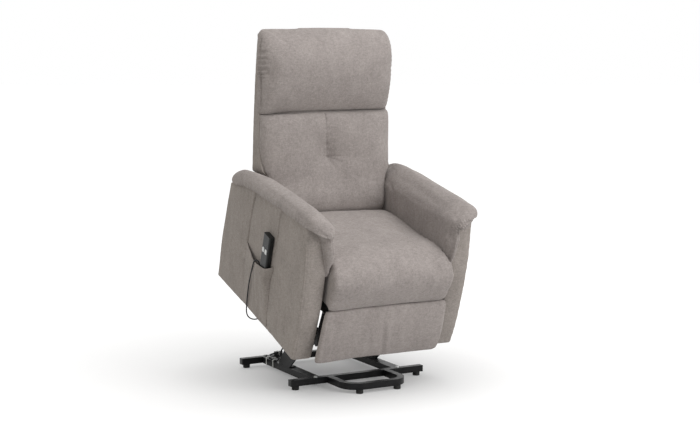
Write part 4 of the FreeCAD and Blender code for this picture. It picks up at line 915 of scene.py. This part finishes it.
# Arms
arm = {
    "inner": 266.5, "outerLow": 345.0, "outerHigh": 357.0, "leanHeight": 438.0, "corner": 11.0,
    "front": profile([(-8, 20), (60, 8), (120, 0.5), (180, -4.5), (240, -7), (300, -7), (360, -4),
        (420, 1.5), (480, 10), (526, 18), (560, 24)]),
    "rear": profile([(10, 748), (120, 742), (230, 732), (340, 718), (438, 700), (470, 694)]),
    "bottom": profile([(-60, -14), (20, -8), (180, 0), (352, 6), (560, 9), (748, 10)]),
    "underPad": profile([(-60, 526), (18, 526), (90, 524), (281, 508), (430, 494), (555, 478), (700, 438)]),
    "ridge": profile([(-40, 528), (-36, 538), (-31, 547), (-26, 554), (-19, 563), (-6, 573), (18, 579),
        (60, 580), (117, 579), (281, 570), (420, 561), (500, 551), (555, 542), (612, 526), (655, 503),
        (674, 488), (684, 478)]),
    "rearSeam": [(460, 490), (473, 434), (482, 388), (487, 344), (489, 301), (492, 274), (495, 212),
        (498, 168), (490, 125), (482, 90), (476, 40), (474, 10)],
    "frontSeam": [(227, 512), (238, 474), (240, 441), (240, 408), (247, 360), (255, 320), (272, 241),
        (273, 206), (269, 166), (269, 124), (273, 79), (264, 41), (250, 6)],
    # inset and depth of the twin seam down the front corner, place and height of the rear panel's folds
    "twinSeam": ((5, 5.0), (16, 3.4)),
    "rearFolds": ((548, 1.6), (640, 1.2)),
}


def armOuter(q, side):
    # the sitter's left arm stands a little more upright
    shift = 8.0 * (1 - q / 219.0) if side > 0 else 0.0
    return arm["outerLow"] + (arm["outerHigh"] - arm["outerLow"]) * q / arm["leanHeight"] + shift


def makeArm(name, side, node):
    # levels from the hem up to the pad, each a rounded rectangle
    rings = []
    r = arm["corner"]
    for t in np.r_[0, 0.004, 0.012, 0.024:1:58j]:
        hem = 5.0 * roundOff(1 - t / 0.012)
        pf = arm["front"](-8 + 538 * t) + hem
        pr = arm["rear"](10 + 432 * t) - hem
        xi, wide = arm["inner"] + hem, 83.0
        puff = 2.4 * ease(0, 0.12, t) * (1 - ease(0.88, 1, t))
        # distance from the outer face, or from the inner one where it is negative
        outline = [(-1e-6, p) for p in np.linspace(pr - r, pf + 5, 58)]
        outline += [(-1.5, pf + 1.6), (-6, pf)]
        outline += [(d, pf - puff * sin(pi * (wide - d) / wide)) for d in np.linspace(wide - 14, r + 4, 9)]
        outline += [(r - r * sin(a), pf + r - r * cos(a)) for a in np.linspace(0.15, pi / 2 - 0.01, 6)]
        # columns stand closer at the two seams
        for start, end, count in ((pf + r + 5, 214, 20), (219, 284, 25), (294, 452, 16), (458, 502, 17),
                                  (512, pr - r - 6, 22)):
            outline += [(1e-6, p) for p in np.linspace(start, end, count)]
        outline += [(r - r * cos(a), pr - r + r * sin(a)) for a in np.linspace(0.01, pi / 2, 6)]
        outline += [(d, pr) for d in np.linspace(r + 6, wide - r, 7)]
        outline += [(-(r - r * sin(a)), pr - r + r * cos(a)) for a in np.linspace(0.4, pi / 2 - 0.1, 4)]
        ring = []
        for d, p in outline:
            low = arm["bottom"](p)
            q = low + t * (arm["underPad"](p) + 4 - low)
            bulge = puff * 0.7 * abs(sin(pi * (p - pf) / 245.0)) if d == 1e-6 else 0.0
            x = xi - d if d < 0 else armOuter(q, side) - hem - d + bulge
            ring.append((side * x, p, q))
        rings.append(ring if side > 0 else list(reversed(ring)))
    piece = skinned(name, rings, "chair", "panel_fabric", node)
    ruffle(piece, 1.6, 120, 31.0 + side)

    def onSide(q):
        return side * (armOuter(q, side) + 1)

    for seam, depth in ((arm["rearSeam"][:6], 9.0), (arm["rearSeam"][5:], 4.0),
                        (arm["frontSeam"][:6], 7.0), (arm["frontSeam"][6:], 2.2)):
        sew(piece, [(onSide(q), p, q) for p, q in seam], depth, 3.4, 1.1, 40.0, 22.0, 70)
    for inset, depth in arm["twinSeam"]:
        corner = [(side * (armOuter(q, side) - inset), arm["front"](q), q)
                  for q in (0, 90, 180, 270, 360, 430, 500)]
        sew(piece, corner, depth, 2.8, 0.7, 36.0, 16.0, 90)
    innerEdge = [(side * (arm["inner"] + 3), arm["front"](q) + 3, q) for q in (8, 90, 180, 270, 340)]
    sew(piece, innerEdge, 1.4, 3.2, 0.3, 30.0, 12.0, 70)
    hem = [(onSide(14), p, arm["bottom"](p) + 14) for p in (24, 120, 240, 360, 480, 600, 735)]
    sew(piece, hem, 1.3, 3.0, 0.5, 60.0, 14.0, 140)
    # cloth pulls up to the pad, and two soft upright folds stand in the rear panel
    pulls = [(onSide(480), p, arm["underPad"](p) - 4) for p in (30, 110, 200, 290, 380, 470, 560, 650)]
    sew(piece, pulls, 1.6, 4.0, 1.5, 34.0, 30.0, 150)
    for place, height in arm["rearFolds"]:
        fold = [(onSide(q), place + (q - 250) * 0.05, q) for q in (90, 200, 300, 400)]
        sew(piece, fold, -height, 7.0)
    return finer(piece)


pad = {
    "inner": 251.0, "voxel": 5.0,
    # across the roll: distance from its inner side, and height as a share of the roll's height
    "section": [(0, 0.0), (0, 0.08), (2, 0.19), (7, 0.31), (15, 0.44), (28, 0.60), (46, 0.78), (66, 0.93),
        (86, 1.0), (102, 0.96), (114, 0.82), (121, 0.56), (121, 0.26), (117, 0.02), (112, -0.06),
        (106, 0.03), (96, 0.06), (40, 0.0)],
    # distance back, then how far the inner and the outer side are drawn in there
    "insets": [(-39, 26, 66), (-34, 18, 50), (-26, 14, 34), (-19, 11, 22), (-6, 8, 10), (18, 4, 2),
        (60, 0, 0), (470, 0, 0), (500, 7, 0), (555, 9, -1), (612, 10, -1), (655, 11, 0), (676, 11, 5),
        (688, 14, 15)],
    "flankFront": profile([(330, 6), (341, 2), (374, -6), (400, -16), (430, -22), (461, -21), (489, -12),
        (514, 6), (540, 24)]),
    "bandFront": profile([(338, -7), (345, -10), (374, -17), (400, -29), (430, -36), (461, -36), (489, -29),
        (510, -25), (526, -20), (545, -12)]),
    "bandEdge": profile([(338, 273), (345, 275), (374, 279), (400, 284), (430, 290), (461, 299), (489, 309),
        (510, 323), (526, 334), (545, 340)]),
    "leftNarrowing": profile([(340, 1.0), (377, 0.9), (411, 0.66), (440, 0.6), (460, 0.68), (485, 0.66),
        (507, 0.62), (528, 0.82), (550, 1.0), (600, 1.0)]),
    # across the band: share of its width, how far it has run back, and how much more where it is flat
    "bandSection": ((0.40, 0, 0.10), (0.58, 0.07, 0.38), (0.76, 0.24, 0.42), (0.90, 0.52, 0.30),
        (0.98, 0.84, 0.06)),
    # seams and creases as (x, distance back, height)
    "fold": [(346, -4, 522), (326, -14, 512), (308, -24, 503), (290, -30, 499), (274, -30, 498),
        (262, -24, 496)],
    "cornerPuckers": ((356, 0, 536, 22), (342, -10, 528, 26), (326, -20, 520, 28), (364, 14, 536, 20)),
    "bandPuckers": ((306, 492), (296, 490), (284, 490), (272, 488)),
    "innerEdge": [(252, 6, 516), (252, -8, 494), (252, -17, 462), (252, -18, 430), (252, -11, 400),
        (252, -2, 372), (252, 6, 345)],
    "leftCrease": [(306, -31, 540), (295, -33, 535), (284, -35, 530), (272, -35, 523), (265, -33, 513),
        (263, -26, 500), (261, -21, 486)],
    "rightCrease": [(-358, -4, 529), (-346, -20, 529), (-329, -31, 526), (-317, -35, 523), (-306, -38, 519)],
    "rightBandSeam": [(-301, -3, 485), (-297, -8, 468), (-291, -11, 444), (-282, -13, 405), (-268, -7, 345)],
}


def padRing(p):
    # outline across the roll at a distance back; x from the inner side, height as a share
    low, high = arm["underPad"](p), arm["ridge"](p)
    places, inner, outer = zip(*pad["insets"])
    near, far = np.interp(p, places, inner), np.interp(p, places, outer)
    tip = ease(0, 1, (-14 - p) / 28.0)
    end = ease(0, 1, (p - 640) / 50.0)
    ring = []
    for dx, share in smoothLine(pad["section"], 60, closed=True):
        x = pad["inner"] + near + dx * (121 - near - far) / 121
        centre = low + (high - low) * 0.45
        q = low + (high - low) * share
        # the front end falls towards the arm's inner side
        inward = ease(0, 1, (354 - x) / 44.0)
        q -= 21.0 * ease(-2, 24, 22 - p) * inward * max(0.0, 1 - share * 2.2)
        q = centre + (q - centre) * (1 - 0.30 * tip - 0.26 * end) - 6 * tip
        ring.append((x, p, q))
    return ring


def padFlank():
    # padding down the arm's inner side, rings from the front edge to the back
    outline = smoothLine([(0, 0.02), (-1, 0.5), (0, 1.0), (8, 1.02), (17, 1.0), (17, 0.5), (17, 0.0),
                          (8, -0.01)], 60, closed=True)
    rings = []
    for s in np.linspace(0, 1, 78):
        ring = []
        for x, share in outline:
            start = pad["flankFront"](337 + 160 * share)
            p = start + (673 - start) * s
            low = 336.0 + 46 * ease(642, 674, p)
            q = low + (arm["underPad"](p) + 6 - low) * share
            inset = np.interp(p, [470, 500, 555, 674], [0, 7, 9, 11])
            turn = 7.0 * roundOff(1 - (p - start) / 9.0)
            xx = pad["inner"] + inset + max(x + turn, -1.0) * (1 - inset / 17 if x > 4 else 1)
            ring.append((min(xx, 268.0), p, q))
        rings.append(ring)
    return rings


def padBand():
    # turned-down front of the pad, level rings from its lower end up into the roll
    rings = []
    for q in np.linspace(339, 530, 42):
        f, s, a = pad["bandFront"](q), pad["bandEdge"](q), arm["front"](q)
        k, w = pad["flankFront"](q), s - pad["inner"]
        low = 1 - ease(339, 356, q)
        f += (a - f) * 0.6 * low
        rise = ease(505, 540, q)
        # flatter towards its outer edge where the roll overhangs it
        flat = ease(458, 506, q)
        f += 4.0 * flat
        shape = [(0, 60), (0, 30), (0.01, max(k + 12, f + 16)), (0.10, f + 8 + 4 * rise), (0.24, f + 1.5)]
        shape += [(u, f + (share + more * flat) * (a - f)) for u, share, more in pad["bandSection"]]
        shape += [(1.0, a + 3), (0.92, a + 14), (0.5, a + 34), (0.3, 60)]
        start = pad["inner"] + 1 + 14 * rise
        ring = smoothLine([(start + (w - 14 * rise) * u, p) for u, p in shape], 60, closed=True)
        rings.append([(x, p, q) for x, p in ring])
    return rings


def makePads():
    stations = np.r_[-39, -38, -36, -33, -29, -24, -18:640:92j, 650, 661, 671, 679, 685, 688]
    points, faces = [], []
    for rings in ([padRing(p) for p in stations], padFlank(), padBand()):
        more, moreFaces = ringMesh(rings)
        faces += [tuple(i + len(points) for i in f) for f in moreFaces]
        points += list(more)
    piece = addPiece("armPadLeft", raised(points), faces, "chair", "seat_fabric", ["arm_pad_left"])
    reskin(piece, pad["voxel"], 8)

    def held(pts):
        x, p, q = pts.T
        above = q - arm["underPad"](p)
        onArm = ease(0, 5, x - 262.0) * (1 - ease(4, 12, above)) * ease(-8, 4, p)
        edge = np.exp(-(above / 6.0) ** 2) * ease(340, 352, x)
        seam = np.exp(-((x - pad["bandEdge"](q)) / 8.0) ** 2) * (1 - ease(516, 530, q))
        return strongest(onArm, 1 - ease(346, 366, q), edge, seam)

    stuff(piece, held, pressure=3.0, cap=6.0)
    refined(piece)
    ruffle(piece, 1.8, 80, 41.0)
    under = [(362, p, arm["underPad"](p) + 1) for p in (6, 30, 60, 130, 200, 281, 360, 440, 500, 555, 610)]
    sew(piece, under, 4.6, 4.4, 2.0, 23.0, 17.0, 150)
    # puckers where the cover is drawn in around the front of the arm
    seam = [(pad["bandEdge"](q) - 2, arm["front"](q) - 4, q) for q in (486, 452, 420, 388, 356)]
    sew(piece, seam, 3.6, 4.0, 1.8, 13.0, 18.0, 110)
    sew(piece, pad["fold"], 7.5, 4.6, 2.2, 12.0, 16.0, 110)
    for x, p, q, far in pad["cornerPuckers"]:
        sew(piece, [(x, p, q), (x - 3, p - 3, q + far * 0.5), (x - 8, p + 3, q + far)], 3.4, 3.6)
    for x, top in pad["bandPuckers"]:
        sew(piece, [(x, -28, top), (x - 2, -33, top - 24), (x - 6, -33, top - 52)], 2.6, 3.4)
    sew(piece, pad["innerEdge"], 1.8, 3.6, 1.2, 19.0, 14.0, 80)
    other = mirroredCopy(piece, "armPadRight", "chair", "seat_fabric", ["arm_pad_right"])
    # the sitter's left pad turns in sooner at its front and keeps closer to its arm
    pts = seated(readPoints(piece.data))
    x, p, q = pts.T
    front = 1 - ease(8, 44, p)
    narrower = (1 - pad["leftNarrowing"](q)) * front * ease(251, 262, x)
    x -= (x - 251) * narrower
    q += 13.0 * ease(294, 336, x) * ease(504, 520, q) * (1 - ease(524, 552, q)) * front
    x -= 8.0 * ease(300, 372, x)
    writePoints(piece.data, raised(pts))
    # each roll ends in a slanting crease, gathered where it passes the arm's front corner
    sew(piece, pad["leftCrease"], 6.0, 4.0, 3.0, 11.0, 14.0, 90)
    sew(other, pad["rightCrease"], 4.5, 3.6)
    sew(other, pad["rightBandSeam"], 3.0, 3.6)


makeArm("armLeftCover", 1, "arm_left")
makeArm("armRightCover", -1, "arm_right")
makePads()
print("arms made")


# Rear panel
def makeRearPanel():
    rings = []
    for q in np.r_[12, 13, 16, 22:220:24j, 226, 229, 230]:
        end = 3.0 * roundOff(max(16 - q, q - 226) / 4)
        ring = [(x, 688 + end * 0.6, q) for x in np.linspace(262, -262, 30)]
        ring += [(-265.5, 691, q), (-265.5, 696, q)]
        ring += [(x, 700 - end + 3.0 * (1 - (x / 266) ** 2) * sin(pi * (q - 12) / 218), q)
                 for x in np.linspace(-262, 262, 40)]
        ring += [(265.5, 696, q), (265.5, 691, q)]
        rings.append(ring)
    piece = skinned("rearPanelCover", rings, "chair", "panel_fabric", "rear_panel")
    ruffle(piece, 1.0, 100, 51.0)
    return finer(piece)


makeRearPanel()


# Side pocket for the handset
pocket = {
    "low": 19.0, "cloth": 1.8, "bag": 26.6, "flat": (0.262, 0.232), "hem": 0.0042, "columns": 100, "rows": 72,
    "mouth": profile([(240, 272), (246, 270), (252, 263), (262, 258), (290, 253), (324, 249), (352, 242),
        (385, 241), (411, 246), (450, 256), (474, 264), (496, 274)]),
    "bulge": profile([(240, 0.0), (246, 0.2), (252, 0.56), (262, 0.98), (290, 1.02), (328, 1.0), (362, 0.76),
        (405, 0.52), (450, 0.29), (478, 0.11), (496, 0.0)]),
    "fall": profile([(10, 0.0), (18, 0.02), (60, 0.14), (110, 0.32), (172, 0.68), (214, 1.0), (290, 1.0)]),
}


def seamAt(seam, q):
    return np.interp(q, [s[1] for s in reversed(seam)], [s[0] for s in reversed(seam)])


def makePocket():
    columns, rows = pocket["columns"], pocket["rows"]
    points, faces = [], []
    for j in range(rows):
        v = j / (rows - 1)
        for i in range(columns):
            u = i / (columns - 1)
            place = 243 + 251 * u
            q = pocket["low"] + (pocket["mouth"](place) - pocket["low"]) * v
            front = seamAt(arm["frontSeam"], q) - 6 * ease(230, 268, q)
            rear = seamAt(arm["rearSeam"], q)
            # the bag hangs from the handset's front edge, ahead of the seam lower down
            front = min(front, 262 - 16 * ease(200, 262, q))
            p = front + (rear - front) * u
            stand = pocket["bag"] * pocket["bulge"](place) * pocket["fall"](q)
            wave = sin(u * 15.0 + 2.2 * sin(v * 2.4)) + 0.6 * sin(u * 34.0 + 3.0 * v)
            sag = 2.4 * wave * sin(pi * u) * (1 - ease(0.55, 1, v)) * ease(0, 0.18, v)
            lean = (p - 330 + (q - 170) * 0.25) / 15.0
            pull = 4.5 * exp(-lean ** 2) * (1 - ease(120, 160, q)) * ease(24, 80, q)
            lip = 1.2 * sin(u * 21.0 + 0.8) * ease(0.86, 1, v) * sin(pi * u)
            lip *= ease(0.3, 0.5, u)
            stand = max(0.0, stand + sag - pull + lip)
            sewn = 0.8 if 0 < i < columns - 1 else -1.5
            points.append((-(armOuter(q, -1) + sewn + stand), p, q))
    for j in range(rows - 1):
        for i in range(columns - 1):
            a = j * columns + i
            faces.append((a, a + columns, a + columns + 1, a + 1))
    piece = addPiece("sidePocketCloth", raised(points), faces, "chair", "panel_fabric", ["side_pocket"])
    thick = piece.modifiers.new("cloth", "SOLIDIFY")
    thick.thickness = pocket["cloth"] * mm
    thick.offset = 1.0
    top = [points[(rows - 1) * columns + i] for i in range(0, columns, 4)]
    edge = [tuple(float(c) for c in p) for p in raised([(x - 0.9, p, q - 1.2) for x, p, q in top])]
    hem = addCurve("pocketHem", edge, pocket["hem"], "chair", "panel_fabric")
    print("pocket cloth area", round(sum(polygon.area for polygon in piece.data.polygons), 4))
    finer(piece)


makePocket()
print("pocket made")


# Floor, light and background
studio = {
    "floor": (0.62, 0.62, 0.62), "floorSize": 45.0, "world": 0.67, "worldColor": (1.0, 0.995, 0.985, 1.0),
    # glow of the floor by half the distance from the chair, weaker near the chair so that it paints shade
    # around it
    "glowWithPaintedShade": [(0.06, (0.16,) * 3), (0.36, (0.38,) * 3), (1.0, (0.62,) * 3)],
    "aim": (0.0, 0.1, 0.6),
    # name, place, power, width and colour
    "lamps": (("keyLight", (1.7, -3.4, 1.8), 66.0, 2.2, (1.0, 1.0, 1.0)),
              ("fillLight", (-3.3, -0.5, 0.42), 7.0, 1.0, (1.0, 0.96, 0.78)),
              ("topLight", (0.4, -0.7, 4.0), 54.0, 3.2, (1.0, 1.0, 1.0))),
}


def seenRays(tree):
    # 1 for what the camera, a gloss or a clear part shows, 0 for what lights the object
    rays = addNode(tree, "ShaderNodeLightPath")
    seen = sumOf(tree, rays.outputs["Is Camera Ray"], rays.outputs["Is Glossy Ray"], "MAXIMUM")
    return sumOf(tree, seen, rays.outputs["Is Transmission Ray"], "MAXIMUM")


def floorSurface(name):
    # pale floor that keeps its shadows near the chair, with a glow that is weaker there and paints more shade
    # around the chair, and runs out to white
    mat, tree, shader = newMaterial(name)
    shader.inputs["Base Color"].default_value = (*studio["floor"], 1.0)
    shader.inputs["Roughness"].default_value = 0.85
    shader.inputs["Specular IOR Level"].default_value = 0.1
    place = addNode(tree, "ShaderNodeTexCoord")
    reach = addNode(tree, "ShaderNodeVectorMath", operation="LENGTH")
    tree.links.new(place.outputs["Object"], reach.inputs[0])
    # the glow is weaker near the chair and so paints shade on the floor around it
    glowWithPaintedShade = rampOf(tree, sumOf(tree, reach.outputs["Value"], 0.5, "MULTIPLY"), studio["glowWithPaintedShade"])
    tree.links.new(sumOf(tree, glowWithPaintedShade, seenRays(tree), "MULTIPLY"), shader.inputs["Emission Strength"])
    shader.inputs["Emission Color"].default_value = (1.0, 1.0, 1.0, 1.0)
    return mat


def makeStudio():
    mesh = bpy.data.meshes.new("studioFloor")
    size = studio["floorSize"]
    corners = [(-size, -size, 0), (size, -size, 0), (size, size, 0), (-size, size, 0)]
    mesh.from_pydata(corners, [], [(0, 1, 2, 3)])
    floor = bpy.data.objects.new("studioFloor", mesh)
    bpy.context.scene.collection.objects.link(floor)
    mesh.materials.append(floorSurface("studioWhite"))
    world = bpy.data.worlds.new("studioWorld")
    world.use_nodes = True
    tree = world.node_tree
    tree.nodes.clear()
    light = addNode(tree, "ShaderNodeBackground", Color=studio["worldColor"], Strength=studio["world"])
    shown = addNode(tree, "ShaderNodeBackground", Color=(1.0, 1.0, 1.0, 1.0), Strength=1.0)
    mix = addNode(tree, "ShaderNodeMixShader")
    out = addNode(tree, "ShaderNodeOutputWorld")
    tree.links.new(seenRays(tree), mix.inputs[0])
    tree.links.new(light.outputs[0], mix.inputs[1])
    tree.links.new(shown.outputs[0], mix.inputs[2])
    tree.links.new(mix.outputs[0], out.inputs["Surface"])
    bpy.context.scene.world = world
    for name, place, power, width, color in studio["lamps"]:
        data = bpy.data.lights.new(name, "AREA")
        data.energy = power
        data.color = color
        data.size = width
        lamp = bpy.data.objects.new(name, data)
        lamp.location = place
        aim = Vector(studio["aim"]) - Vector(place)
        lamp.rotation_euler = aim.to_track_quat("-Z", "Y").to_euler()
        bpy.context.scene.collection.objects.link(lamp)
    bpy.context.scene.view_settings.view_transform = "Standard"


makeStudio()
print("studio lit")
